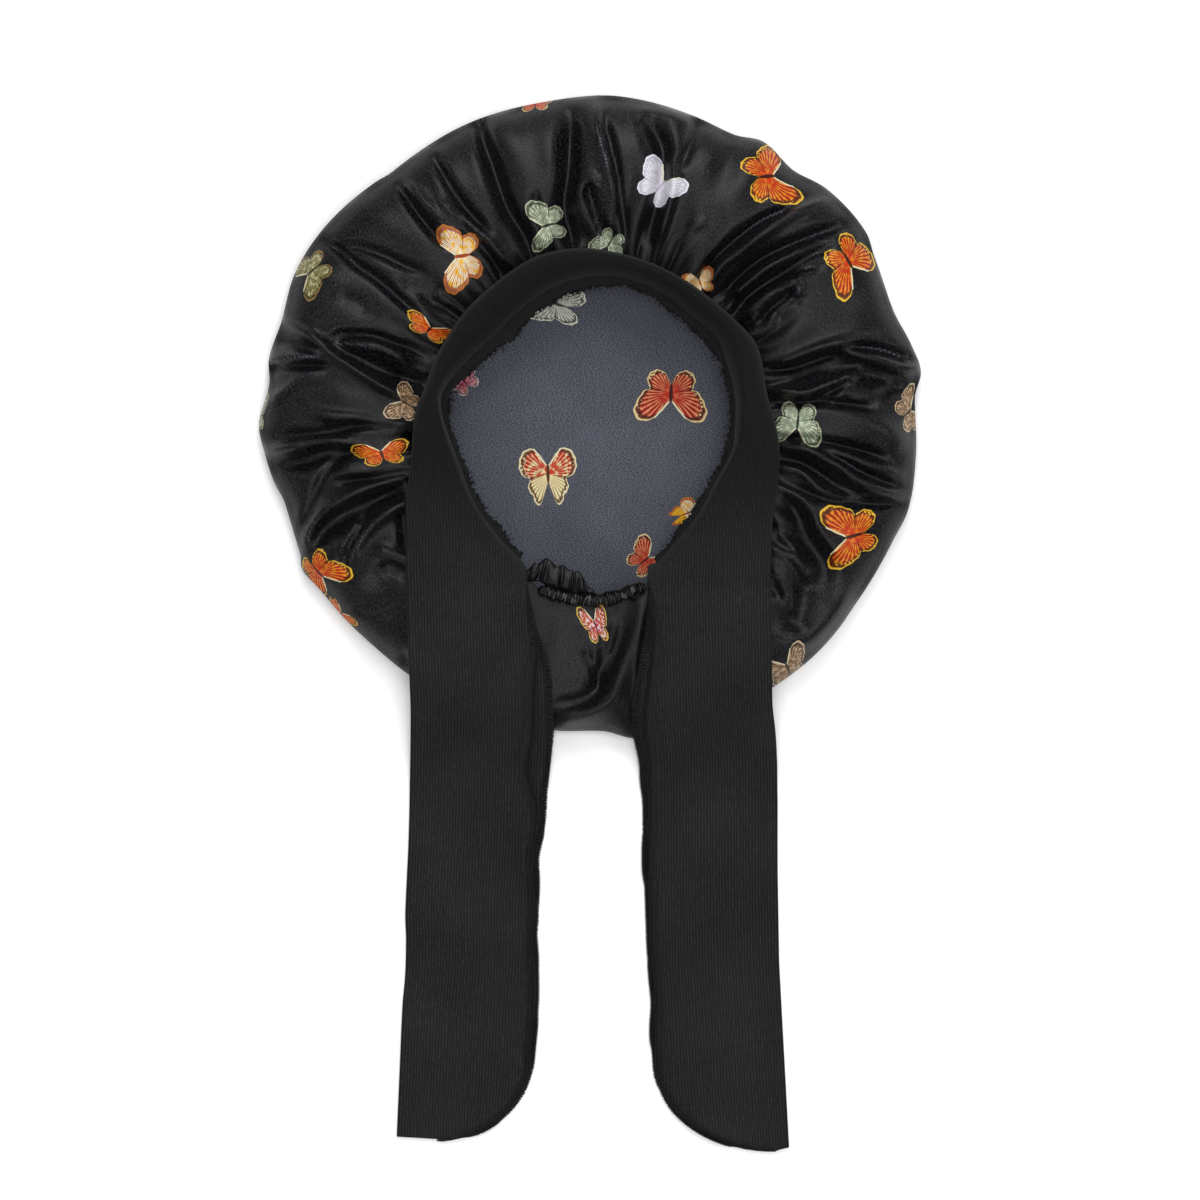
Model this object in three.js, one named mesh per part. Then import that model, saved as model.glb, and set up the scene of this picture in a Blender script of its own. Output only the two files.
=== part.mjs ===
import * as THREE from "three";

// A satin bonnet with a tie band, laid down with its opening up. Millimetres, +Z up.
// The surface that it lies on is z = 0 and the origin is under the middle of the crown.
// +Y points to the brow; -Y points to the nape and along the ties.

const SATIN_WALL = 1.2; // the crown's sheet
const KNIT_WALL = 2; // rib knit folded double
const SEAM_WALL = 1.5; // overlocked edges of knit and satin together
const FRILL_WALL = 1;
const CLEARANCE = 0.3; // between one piece and the next

const RIM_HEIGHT = 9; // the crown is widest at this height
const RIM_TURN = 12; // the sheet leaves the surface this far in from the rim
const SEAM_HEIGHT = 26; // top of the satin where the band is sewn on
const SATIN_UNDER_BAND = 0.8; // how far the satin's edge reaches in under the band's edge
const SEAM_LEDGE = 1.5; // the satin stays level this far out from the band's edge
const SEAM_HANG = 1.4; // free edge of the seam allowance, under SEAM_HEIGHT
const SEAM_TUCK = 1.8; // the seam allowance starts this far inside the band's edge
const GATHER_LIFT = 1; // small gathers between the main folds, at the seam
const GATHER_REACH = 0.35; // share of the way to the rim at which they have faded
const BAND_OVER_CROWN = 5.2; // middle of the band over the crown's mean height
const CROWN_UNDER_TIES = 2.8; // the crown's top under the middle of the ties' wall
const PRESSED_FOLDS = 0.4; // share of a fold's height that is left under the ties

// At the left nape corner the satin's edge steps out here to pass behind the casing.
const NAPE_CORNER = { angle: 247.5, radius: 97.5 };

const CASING_RADIUS = 4;
const CASING_LIFT = 1.6; // middle of the casing, over SEAM_HEIGHT
const CASING_GATHERS = 22;
const CASING_GATHER_DEPTH = 0.5;
const CASING_SIDES = 8;
const FRILL_WAVES = 7;
const FRILL_WAVE_DEPTH = 1.5;

const COLOURS = {
  satin: 0x17171a,
  satinReverse: 0x3b3c48,
  knit: 0x1d201f,
  overlock: 0x141515,
};

// The rim seen from above, out from the crown's middle. Each dip is a fold that runs over the edge.
const RIM = table(["angle", "radius"], [
  [4, 177.5], [8, 182], [13, 180], [20, 175.7], [29.7, 178.6], [34.4, 182], [44.5, 180.4],
  [51.2, 175.7], [58.3, 179], [63.4, 174.6], [71.2, 175.5], [79.8, 177.1], [98, 176.1],
  [113, 176], [128.9, 174.5], [144.7, 180.7], [154.1, 181.5], [162.2, 178.5], [169.3, 180.2],
  [174, 178], [180.9, 182.6], [191, 177.7], [195.3, 174.5], [207.3, 178.8], [219.5, 173.9],
  [234.5, 172.3], [262.8, 171.8], [272, 171], [278, 176.5], [303.7, 177.2], [319.1, 177.4],
  [337.6, 177.8], [343.9, 180.3], [353.8, 178.7],
]);

// Height of the crown's top over its way from the seam, share 0, to the rim, share 1.
const TOP_PROFILE = table(["share", "height"], [
  [0, SEAM_HEIGHT], [0.08, 28], [0.2, 31], [0.4, 33.5], [0.6, 32.5], [0.8, 27], [0.92, 19],
  [1, RIM_HEIGHT],
]);

// Folds of the crown's top, a row each. A fold runs from its angle at the seam to its angle at the
// rim; lift is how far it stands over the mean height, and is negative in a valley.
const FOLDS = table(["seam", "rim", "lift"], [
  [5, 0.2, 3.5], [6.6, 5.2, 0], [8.8, 10, 3.5], [13, 13.2, -3], [17.1, 16.5, 3],
  [21.5, 23.5, 1], [26.6, 30.4, -4], [31.9, 33.4, 3], [37.4, 36.4, -4], [41.4, 39.3, 3],
  [44.2, 41.5, -1], [46.9, 44.5, 4], [50.6, 53.2, -5], [58, 60, 3], [68.3, 70.7, -5],
  [74, 79, 3], [80.5, 87, -5], [89.5, 90.6, 3.5], [96, 94.5, -5], [104, 102, 3],
  [111.7, 110.8, -5], [115.5, 115.5, 3], [119.6, 121, -5], [125.5, 125.3, 3],
  [131.8, 129.9, -4], [136, 137, 2.5], [140, 142, -3.5], [144.8, 144.8, 2.5],
  [149, 147.8, -4], [155, 153.5, 3], [162, 158.5, -4], [172, 163.5, 4], [176.6, 173, -3],
  [181.3, 179.4, 3.5], [184, 182.2, -2], [187, 185.5, 3.5], [191, 191, -3.5],
  [196.5, 201, 5], [201.5, 204.8, -4], [205.5, 209, 4], [210, 212.5, -4], [216, 217.5, 2],
  [222.4, 223, -3], [233, 233, 2], [244, 242, -2], [252, 251, 2], [262, 261, -2],
  [270, 268, 2.5], [277, 275.5, -2.5], [284, 283, 2], [293, 293, -2], [303, 303, 2],
  [315.5, 316.9, -3.5], [321, 321, 3], [328, 324.9, -3.5], [335, 332, 3],
  [342, 338.5, -3.5], [350.5, 345.5, 4], [357.5, 354, -2],
]);

// The band round the opening, a row for each section from the left nape corner over the brow to
// the right one. It rises from its sewn edge to a crest and comes down to its folded edge: crest is
// how far across the section the crest is, and height is the crest's.
const BAND = table(["seamX", "seamY", "edgeX", "edgeY", "crest", "height"], [
  [-37.4, -80.3, -100.1, -80.3, 0.14, 39],
  [-50.6, -66, -100.1, -63.8, 0.09, 40],
  [-64.4, -46.8, -100.1, -45.7, 0.08, 41],
  [-73.2, -24.8, -97.4, -23.7, 0.16, 43],
  [-82, 0, -95.7, 0.6, 0.1, 46],
  [-81.6, 15.4, -90.2, 16.5, 0.3, 48],
  [-68.8, 31.9, -83.6, 33.6, 0.75, 50],
  [-52.3, 47.3, -69.3, 56.1, 0.78, 50],
  [-40.2, 59.4, -51.2, 73.2, 0.8, 50],
  [-22, 72.1, -29.7, 86.9, 0.78, 50],
  [-1.1, 78.1, -5, 91.3, 0.75, 50],
  [17, 77.5, 21, 87, 0.75, 50],
  [37.4, 69.9, 42.5, 78.5, 0.75, 50],
  [52.8, 58.3, 61.1, 66.5, 0.75, 50],
  [68.2, 44.6, 79.8, 50.1, 0.7, 50],
  [74.8, 28.6, 89.7, 37, 0.55, 50],
  [78.7, 11, 94.6, 12.1, 0.3, 48],
  [78.7, -5.5, 99.6, -6.6, 0.2, 46],
  [76.5, -19.3, 101.2, -22, 0.1, 44],
  [66.6, -37.4, 99.6, -39.6, 0.1, 42],
  [57.8, -53.9, 97.4, -56.1, 0.12, 41],
  [44, -70.4, 96.8, -72.6, 0.2, 40],
  [33, -83.6, 96.3, -88, 0.2, 39],
]);

// The ties, a row for each section: the distances of the two edges from the bonnet's middle line.
// The inner edge is overlocked and wavy; the outer edge is the fold of the strip.
const LEFT_TIE = table(["y", "inner", "outer"], [
  [-90, 36.3, 99.9], [-99, 34.7, 99.6], [-112, 31, 99.3], [-127, 26, 99], [-148, 22, 98.5], [-170, 21.5, 98.5],
  [-190, 23.7, 99], [-212, 25.3, 99.5], [-241, 29.7, 100.4], [-272, 29.7, 101.8],
  [-297, 30.8, 101.5], [-323, 29.7, 103.4], [-348, 32, 104.5],
]);
const RIGHT_TIE = table(["y", "inner", "outer"], [
  [-91, 31.8, 96.3], [-99, 30.8, 96.3], [-112, 29.3, 96.6], [-127, 27, 97], [-148, 24, 97.4], [-170, 22.6, 99.4],
  [-190, 26.5, 100.8], [-212, 28.1, 101.2], [-245, 28.3, 101.2], [-272, 29.4, 101.6],
  [-297, 30.8, 102], [-323, 32.3, 103.3], [-352, 33.5, 104.9],
]);

// The end of each tie: its rounded inner corner is a quarter of an ellipse, its outer one is square.
const TIE_ENDS = {
  left: { side: -1, rows: LEFT_TIE, cornerWide: 49, cornerLong: 47.5, outer: 106.5, drop: 46 },
  right: { side: 1, rows: RIGHT_TIE, cornerWide: 66, cornerLong: 50, outer: 107.5, drop: 48 },
};
const CORNER_STEPS = 5;

// Height of the middle of the ties' wall as they come off the crown and down to the surface.
const TIE_DRAPE = table(["y", "height"], [
  [-420, 1], [-225, 1], [-208, 1.4], [-195, 3.5], [-180, 9.5], [-165, 18], [-150, 26],
  [-130, 33], [-100, 37], [-60, 38],
]);

// Inner edge of the seam allowance, as it shows in the opening.
const SEAM_INNER = table(["angle", "radius"], [
  [9, 75.5], [33, 74.8], [50, 72], [65, 74], [76, 74.5], [86, 71.5], [108, 67], [126, 62.5],
  [136, 61], [155, 68.5], [170, 77], [180, 77.5], [200, 73.5], [217, 75.5], [232, 78.5],
  [243, 82], [293, 83], [308, 76.5], [317, 74.5], [330, 72], [345, 74.5],
]);
const SEAM_START = 243;
const SEAM_END = -66;
const SEAM_STEP = 6;

// The ruched casing at the nape, along its middle.
const CASING_PATH = table(["x", "y"], [
  [-28.9, -92], [-26, -94], [-17, -97], [-8, -98.5], [3, -99.5], [16, -96.5], [29, -91],
]);

// The frill stands inside the casing's left half: offsets from the casing's middle, and lifts over
// SEAM_HEIGHT.
const FRILL_FROM = -32;
const FRILL_TO = -8;
const FRILL_COLUMNS = 28;
const FRILL_PROFILE = table(["offset", "lift", "wave"], [
  [5.6, 1, 0], [8.5, 4.5, 0.6], [12.5, 8, 1],
]);

const CROWN_TOP_SHARES = [0.92, 0.8, 0.66, 0.5, 0.34, 0.2, 0.09];
const RIM_ANGLES = [30, 60, 90];
const COLUMNS_PER_FOLD = 2;
const BAND_STEPS = 2;
const HALF_SECTION_STEPS = 4;

const { clamp, degToRad, euclideanModulo, lerp, radToDeg, smoothstep } = THREE.MathUtils;

function table(columns, rows) {
  return rows.map((row) => Object.fromEntries(columns.map((name, i) => [name, row[i]])));
}

// A smooth curve through two columns of a table. With a period it runs round, as angles do.
function curveThrough(rows, key, column, period = 0) {
  const turns = period ? [-1, 0, 1] : [0];
  const points = turns
    .flatMap((turn) => rows.map((row) => [row[key] + turn * period, row[column]]))
    .sort((a, b) => a[0] - b[0]);
  const last = points.length - 1;
  const slopes = points.map((_, i) => {
    const before = points[Math.max(i - 1, 0)];
    const after = points[Math.min(i + 1, last)];
    return (after[1] - before[1]) / (after[0] - before[0]);
  });
  return (place) => {
    const at = period ? euclideanModulo(place, period) : clamp(place, points[0][0], points[last][0]);
    const i = clamp(points.findIndex((point) => point[0] > at) - 1, 0, last - 1);
    const i0 = points[last][0] <= at ? last - 1 : i;
    return hermite(points[i0], points[i0 + 1], slopes[i0], slopes[i0 + 1], at);
  };
}

function hermite(from, to, slopeFrom, slopeTo, at) {
  const span = to[0] - from[0];
  const u = (at - from[0]) / span;
  const rise = u * u * (3 - 2 * u);
  const leave = u * (1 - u) * (1 - u) * span;
  const arrive = u * u * (u - 1) * span;
  return lerp(from[1], to[1], rise) + slopeFrom * leave + slopeTo * arrive;
}

// A column of a list of sections between its rows: place 2.5 is half way from row 2 to row 3.
function between(rows, column, place) {
  const i = Math.min(Math.floor(place), rows.length - 2);
  const value = (k) => rows[clamp(k, 0, rows.length - 1)][column];
  const slopeFrom = (value(i + 1) - value(i - 1)) / 2;
  const slopeTo = (value(i + 2) - value(i)) / 2;
  return hermite([i, value(i)], [i + 1, value(i + 1)], slopeFrom, slopeTo, place);
}

function polar(angle, radius, height) {
  const turn = degToRad(angle);
  return new THREE.Vector3(radius * Math.cos(turn), radius * Math.sin(turn), height);
}

function angleOf(x, y) {
  return euclideanModulo(radToDeg(Math.atan2(y, x)), 360);
}

const casingReach = CASING_RADIUS + CASING_GATHER_DEPTH + CLEARANCE + SATIN_UNDER_BAND;
const openingRows = [
  NAPE_CORNER,
  ...BAND.map((row) => ({
    angle: angleOf(row.seamX, row.seamY),
    radius: Math.hypot(row.seamX, row.seamY),
  })),
  ...CASING_PATH.map((row) => ({
    angle: angleOf(row.x, row.y),
    radius: Math.hypot(row.x, row.y) + casingReach,
  })),
];
const openingRadius = curveThrough(openingRows, "angle", "radius", 360);
const rimRadius = curveThrough(RIM, "angle", "radius", 360);
const topHeight = curveThrough(TOP_PROFILE, "share", "height");
const tieDrape = curveThrough(TIE_DRAPE, "y", "height");
const seamInner = curveThrough(SEAM_INNER, "angle", "radius", 360);

// The crown's mean height at a place, without its folds.
function meanCrownHeight(x, y) {
  const angle = angleOf(x, y);
  const inner = openingRadius(angle);
  return topHeight(clamp((Math.hypot(x, y) - inner) / (rimRadius(angle) - inner), 0, 1));
}

// Height of the middle of the band's or a tie's wall where it lies on the crown or the surface.
function lyingHeight(x, y) {
  const overCrown = meanCrownHeight(x, y) + BAND_OVER_CROWN;
  const drape = Math.max(tieDrape(y), KNIT_WALL / 2);
  return lerp(drape, overCrown, smoothstep(y, -90, -50));
}

// 1 under the ties and 0 clear of them.
function underTies(x, y) {
  const across = smoothstep(Math.abs(x), 8, 18) * (1 - smoothstep(Math.abs(x), 104, 114));
  return across * (1 - smoothstep(y, -80, -60));
}

// A wall of cloth as one closed solid. rows[i][j] is a point of one face or of the wall's middle;
// outside is the share of the wall that lies on the side that the normals point to. A ring's rows
// close on themselves, and with a pole the first row is a single point.
function clothWall(rows, { wall, outside = 0.5, ring = false, pole = false }) {
  const columns = rows[0].length;
  const next = (j) => (ring ? (j + 1) % columns : j + 1);
  const point = (i, j) => {
    const row = rows[clamp(i, 0, rows.length - 1)];
    return row[ring ? euclideanModulo(j, columns) : clamp(j, 0, columns - 1)];
  };
  const normals = rows.map((row, i) =>
    row.map((_, j) => {
      const along = point(i + 1, j).clone().sub(point(i - 1, j));
      const round = point(i, j + 1).clone().sub(point(i, j - 1));
      return pole && i === 0 ? new THREE.Vector3(0, 0, -1) : round.cross(along).normalize();
    }),
  );
  const positions = [];
  for (const share of [outside, outside - 1])
    rows.forEach((row, i) =>
      row.forEach((p, j) => positions.push(...p.clone().addScaledVector(normals[i][j], wall * share))),
    );
  const side = rows.length * columns;
  const at = (face, i, j) => face * side + i * columns + (pole && i === 0 ? 0 : j);
  const faces = [];
  const quad = (a, b, c, d) => {
    if (a !== b) faces.push(a, b, c);
    if (c !== d) faces.push(a, c, d);
  };
  const steps = ring ? columns : columns - 1;
  for (let i = 0; i < rows.length - 1; i++)
    for (let j = 0; j < steps; j++) {
      quad(at(0, i, j), at(0, i, next(j)), at(0, i + 1, next(j)), at(0, i + 1, j));
      quad(at(1, i, next(j)), at(1, i, j), at(1, i + 1, j), at(1, i + 1, next(j)));
    }
  const end = rows.length - 1;
  for (let j = 0; j < steps; j++) {
    quad(at(0, end, j), at(0, end, next(j)), at(1, end, next(j)), at(1, end, j));
    if (!pole) quad(at(0, 0, next(j)), at(0, 0, j), at(1, 0, j), at(1, 0, next(j)));
  }
  for (let i = 0; i < end && !ring; i++) {
    quad(at(0, i + 1, 0), at(1, i + 1, 0), at(1, i, 0), at(0, i, 0));
    quad(at(0, i, steps), at(1, i, steps), at(1, i + 1, steps), at(0, i + 1, steps));
  }
  return facingOut(positions, faces);
}

// The solid with its faces turned so that they point out.
function facingOut(positions, faces) {
  const corner = (k) => new THREE.Vector3().fromArray(positions, 3 * faces[k]);
  let volume = 0;
  for (let k = 0; k < faces.length; k += 3)
    volume += corner(k).dot(corner(k + 1).cross(corner(k + 2)));
  const index = volume < 0 ? faces.reverse() : faces;
  const geometry = new THREE.BufferGeometry();
  geometry.setAttribute("position", new THREE.Float32BufferAttribute(positions, 3));
  geometry.setIndex(index);
  geometry.computeVertexNormals();
  return geometry;
}

// One sheet: flat on the surface from the middle out, up round the rim, and back in over the top,
// in folds, to the opening. Its columns of points follow the folds.
function crown() {
  const count = FOLDS.length * COLUMNS_PER_FOLD;
  const turn = { seam: FOLDS[0].seam + 360, rim: FOLDS[0].rim + 360, lift: FOLDS[0].lift };
  const rounds = [...FOLDS, turn];
  const columns = Array.from({ length: count }, (_, j) => ({
    seam: between(rounds, "seam", j / COLUMNS_PER_FOLD),
    rim: between(rounds, "rim", j / COLUMNS_PER_FOLD),
    lift: between(rounds, "lift", j / COLUMNS_PER_FOLD),
    gather: j % COLUMNS_PER_FOLD ? -GATHER_LIFT : GATHER_LIFT,
  }));
  const rowOf = (point) => columns.map(point);
  const base = rowOf((column) => polar(column.rim, rimRadius(column.rim) - RIM_TURN, 0));
  const rim = RIM_ANGLES.map((angle) =>
    rowOf((column) => {
      const out = RIM_TURN * (1 - Math.sin(degToRad(angle)));
      const up = RIM_HEIGHT * (1 - Math.cos(degToRad(angle)));
      return polar(column.rim, rimRadius(column.rim) - out, up);
    }),
  );
  const top = CROWN_TOP_SHARES.map((share) => rowOf((column) => topPoint(column, share)));
  const ledge = [SEAM_LEDGE, -SATIN_UNDER_BAND].map((out) =>
    rowOf((column) => polar(column.seam, openingRadius(column.seam) + out, SEAM_HEIGHT)),
  );
  const middle = rowOf(() => new THREE.Vector3(0, 0, 0));
  return clothWall([middle, base, ...rim, ...top, ...ledge], {
    wall: SATIN_WALL,
    outside: 0,
    ring: true,
    pole: true,
  });
}

function topPoint(column, share) {
  const angle = lerp(column.seam, column.rim, share);
  const radius = lerp(openingRadius(column.seam), rimRadius(column.rim), share);
  const place = polar(angle, radius, 0);
  const tied = underTies(place.x, place.y);
  const fold = column.lift * smoothstep(share, -0.1, 0.4) * (1 - 0.4 * share);
  const gather = column.gather * (1 - smoothstep(share, 0, GATHER_REACH));
  const free = topHeight(share) + (fold + gather) * lerp(1, PRESSED_FOLDS, tied);
  const pressed = Math.min(free, lyingHeight(place.x, place.y) - CROWN_UNDER_TIES);
  return place.setZ(lerp(free, pressed, tied));
}

// Sections of one tie, from the nape to its end.
function tieSections({ side, rows, cornerWide, cornerLong, outer, drop }) {
  const straight = rows.map((row) => tieSection(side * row.inner, row.y, side * row.outer, row.y));
  const last = rows[rows.length - 1];
  const corner = Array.from({ length: CORNER_STEPS }, (_, k) => {
    const share = (k + 1) / CORNER_STEPS;
    const turn = (share * Math.PI) / 2;
    const innerX = side * (last.inner + cornerWide * (1 - Math.cos(turn)));
    const innerY = last.y - cornerLong * Math.sin(turn);
    return tieSection(innerX, innerY, side * lerp(last.outer, outer, share), last.y - drop * share);
  });
  return [...straight, ...corner];
}

function tieSection(seamX, seamY, edgeX, edgeY) {
  const height = lyingHeight((seamX + edgeX) / 2, seamY);
  const sewn = smoothstep(seamY, -122, -84);
  return {
    seamX,
    seamY,
    seamZ: lerp(lyingHeight(seamX, seamY), SEAM_HEIGHT + CLEARANCE, sewn),
    edgeX,
    edgeY,
    edgeZ: lyingHeight(edgeX, edgeY),
    crest: 0.3,
    height,
  };
}

function bandSection(row) {
  return {
    ...row,
    seamZ: SEAM_HEIGHT + CLEARANCE,
    edgeZ: lyingHeight(row.edgeX, row.edgeY),
  };
}

// A point of a section, from its sewn edge, 0, over its crest, 0.5, to its folded edge, 1:
// two quarters of an ellipse that meet level at the crest.
function sectionPoint(section, share) {
  const rising = share <= 0.5;
  const turn = (rising ? share : share - 0.5) * Math.PI;
  const out = rising
    ? section.crest * (1 - Math.cos(turn))
    : section.crest + (1 - section.crest) * Math.sin(turn);
  const height = rising
    ? lerp(section.seamZ, section.height, Math.sin(turn))
    : lerp(section.edgeZ, section.height, Math.cos(turn));
  return new THREE.Vector3(
    lerp(section.seamX, section.edgeX, out),
    lerp(section.seamY, section.edgeY, out),
    height,
  );
}

// The strip of knit: the left tie, the band round the opening and the right tie.
function tieBand() {
  const left = tieSections(TIE_ENDS.left).reverse();
  const right = tieSections(TIE_ENDS.right);
  const sections = [...left, ...BAND.map(bandSection), ...right];
  const names = Object.keys(left[0]);
  const places = [];
  for (let i = 0; i < sections.length; i++) {
    const inBand = i >= left.length - 1 && i < left.length + BAND.length;
    const steps = inBand ? BAND_STEPS : 1;
    for (let k = 0; k < steps; k++) places.push(i + k / steps);
  }
  const rows = places.map((place) => {
    const section = Object.fromEntries(names.map((name) => [name, between(sections, name, place)]));
    return Array.from({ length: 2 * HALF_SECTION_STEPS + 1 }, (_, k) =>
      sectionPoint(section, k / (2 * HALF_SECTION_STEPS)),
    );
  });
  return clothWall(rows, { wall: KNIT_WALL });
}

// The sewn edges of knit and satin, which hang in the opening along the band.
function seamAllowance() {
  const count = Math.round((SEAM_START - SEAM_END) / SEAM_STEP);
  const rows = Array.from({ length: count + 1 }, (_, k) => {
    const angle = lerp(SEAM_START, SEAM_END, k / count);
    return [
      polar(angle, openingRadius(angle) - SEAM_TUCK, SEAM_HEIGHT - SEAM_WALL / 2 - CLEARANCE),
      polar(angle, seamInner(angle), SEAM_HEIGHT - SEAM_HANG),
    ];
  });
  return clothWall(rows, { wall: SEAM_WALL });
}

const casingPath = new THREE.CatmullRomCurve3(
  CASING_PATH.map((row) => new THREE.Vector3(row.x, row.y, SEAM_HEIGHT + CASING_LIFT)),
);

// A tube whose radius swells and shrinks with its gathers, turned about its axis and then bent
// along the nape.
function napeCasing() {
  const stations = 2 * CASING_GATHERS;
  const profile = Array.from({ length: stations + 1 }, (_, k) => {
    const swell = k % 2 ? CASING_GATHER_DEPTH : -CASING_GATHER_DEPTH;
    return new THREE.Vector2(CASING_RADIUS + swell, k / stations);
  });
  const closed = [new THREE.Vector2(0, 0), ...profile, new THREE.Vector2(0, 1)];
  const tube = new THREE.LatheGeometry(closed, CASING_SIDES);
  const position = tube.getAttribute("position");
  for (let i = 0; i < position.count; i++) {
    const share = position.getY(i);
    const tangent = casingPath.getTangentAt(share);
    const across = new THREE.Vector3(tangent.y, -tangent.x, 0).normalize();
    const place = casingPath.getPointAt(share);
    place.addScaledVector(across, position.getX(i));
    place.z += position.getZ(i);
    position.setXYZ(i, ...place);
  }
  tube.computeVertexNormals();
  return tube;
}

function napeFrill() {
  const rows = FRILL_PROFILE.map(({ offset, lift, wave }) =>
    Array.from({ length: FRILL_COLUMNS + 1 }, (_, k) => {
      const share = k / FRILL_COLUMNS;
      const x = lerp(FRILL_FROM, FRILL_TO, share);
      const angle = angleOf(x, casingY(x));
      const swing = wave * FRILL_WAVE_DEPTH * Math.cos(2 * Math.PI * FRILL_WAVES * share);
      return polar(angle, Math.hypot(x, casingY(x)) - offset + swing, SEAM_HEIGHT + lift);
    }),
  );
  return clothWall(rows, { wall: FRILL_WALL });
}

function casingY(x) {
  return curveThrough(CASING_PATH, "x", "y")(x);
}

function cloth(color, roughness) {
  return new THREE.MeshStandardMaterial({ color, roughness, metalness: 0, side: THREE.DoubleSide });
}

function piece(name, geometry, material) {
  const mesh = new THREE.Mesh(geometry, material);
  mesh.name = name;
  return mesh;
}

const bonnet = new THREE.Group();
bonnet.add(
  piece("crown", crown(), cloth(COLOURS.satin, 0.35)),
  piece("tie_band", tieBand(), cloth(COLOURS.knit, 0.95)),
  piece("seam_allowance", seamAllowance(), cloth(COLOURS.overlock, 1)),
  piece("nape_casing", napeCasing(), cloth(COLOURS.satin, 0.4)),
  piece("nape_frill", napeFrill(), cloth(COLOURS.satinReverse, 0.5)),
);

export default bonnet;
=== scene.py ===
import functools
import math

import bpy
import numpy as np
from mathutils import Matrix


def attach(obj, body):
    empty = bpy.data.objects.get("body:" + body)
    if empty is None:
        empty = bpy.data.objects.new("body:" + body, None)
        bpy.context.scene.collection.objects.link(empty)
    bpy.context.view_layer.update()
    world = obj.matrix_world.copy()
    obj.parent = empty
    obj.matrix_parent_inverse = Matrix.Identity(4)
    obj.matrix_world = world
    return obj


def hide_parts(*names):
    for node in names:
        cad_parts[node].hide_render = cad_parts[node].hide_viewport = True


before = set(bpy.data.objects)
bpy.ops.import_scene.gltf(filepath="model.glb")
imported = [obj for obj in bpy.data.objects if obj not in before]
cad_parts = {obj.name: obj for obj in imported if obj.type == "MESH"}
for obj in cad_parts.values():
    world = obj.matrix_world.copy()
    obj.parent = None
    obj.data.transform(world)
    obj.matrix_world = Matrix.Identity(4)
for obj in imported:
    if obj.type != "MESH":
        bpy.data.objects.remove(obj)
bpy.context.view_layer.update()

# A satin bonnet laid with its opening up. Sizes and places are millimetres in the bonnet's own
# frame, +Y to the brow and -Y along the ties, and become metres when a mesh is made.
MM = 0.001
PHOTO_PIXELS = 1200
MM_PER_PIXEL = 0.55
MIDDLE_PIXEL = (592, 420)  # where the photograph shows the crown's middle


def table(columns, *rows):
    """Rows of numbers as an array for each named column."""
    return dict(zip(columns.split(), np.array(rows, float).T))


def from_photo(x, y):
    """A pixel of the photograph as a place on the surface, in millimetres."""
    return (x - MIDDLE_PIXEL[0]) * MM_PER_PIXEL, (MIDDLE_PIXEL[1] - y) * MM_PER_PIXEL


# Sizes that the solids have too.
SATIN_LIFT = 0.35  # thickness of the satin as it shows
KNIT_WALL = 2.0  # both layers of the folded strip
RIM_HEIGHT = 9.0
RIM_TURN = 12.0
SEAM_HEIGHT = 26.0
SATIN_SHORT = 0.5  # the satin ends this far outside the band's sewn edge
CASING_SEAM = 5.2  # and it reaches in this far under the casing
CLEARANCE = 0.3
BAND_OVER_CROWN = 5.2
CROWN_UNDER_TIES = 2.6
CASING_LIFT = 1.6
SEAM_UNDER_BAND = 1.2
SEAM_HANG = 1.4
NAPE_CORNER = (247.5, 97.5)
CASING_REACH = 5.6

RIM = table(
    "angle radius",
    (3.9, 177.5), (8.3, 182.3), (12.9, 180), (20.1, 175.7), (29.7, 178.6), (34.4, 182),
    (44.5, 180.4), (51.2, 175.7), (58.3, 179), (63.4, 174.6), (71.2, 175.5), (79.8, 177.1),
    (87.2, 177.9), (98.1, 176.1), (112.8, 176), (128.9, 174.5), (132.6, 176.3), (144.7, 180.7),
    (154.1, 181.5), (162.2, 178.5), (169.3, 180.2), (174, 178), (180.9, 182.6), (186, 180.3),
    (191, 177.7), (195.3, 174.5), (204.6, 176), (207.3, 178.8), (212.3, 175.8), (219.5, 173.9),
    (226.9, 172.4), (234.5, 172.3), (262.8, 171.8), (272, 171), (278, 176.5), (303.7, 177.2),
    (311.9, 177.8), (319.1, 177.4), (325.4, 176.4), (337.6, 177.8), (343.9, 180.3),
    (353.8, 178.7),
)
TOP_PROFILE = table(
    "share height",
    (0, SEAM_HEIGHT), (0.08, 28), (0.2, 31), (0.4, 33.5), (0.6, 32.5), (0.8, 27), (0.92, 19),
    (1, RIM_HEIGHT),
)
GATHERS = table(
    "seam rim",
    (6.6, 5.2), (13, 13.2), (21.5, 23.5), (31.9, 33.4), (41.4, 39.3), (50.6, 53.2), (58, 60),
    (68.3, 70.7), (74, 79), (80.5, 87), (89.5, 90.6), (96, 94.5), (104, 102), (111.7, 110.8),
    (119.6, 121), (131.8, 129.9), (140, 142), (149, 147.8), (162, 158.5), (172, 163.5),
    (176.6, 173), (184, 182.2), (191, 191), (196.5, 201), (201.5, 204.8), (210, 212.5),
    (222.4, 223), (244, 242), (262, 261), (277, 275.5), (293, 293), (315.5, 316.9), (328, 324.9),
    (342, 338.5), (350.5, 345.5), (357.5, 354),
)
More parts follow.
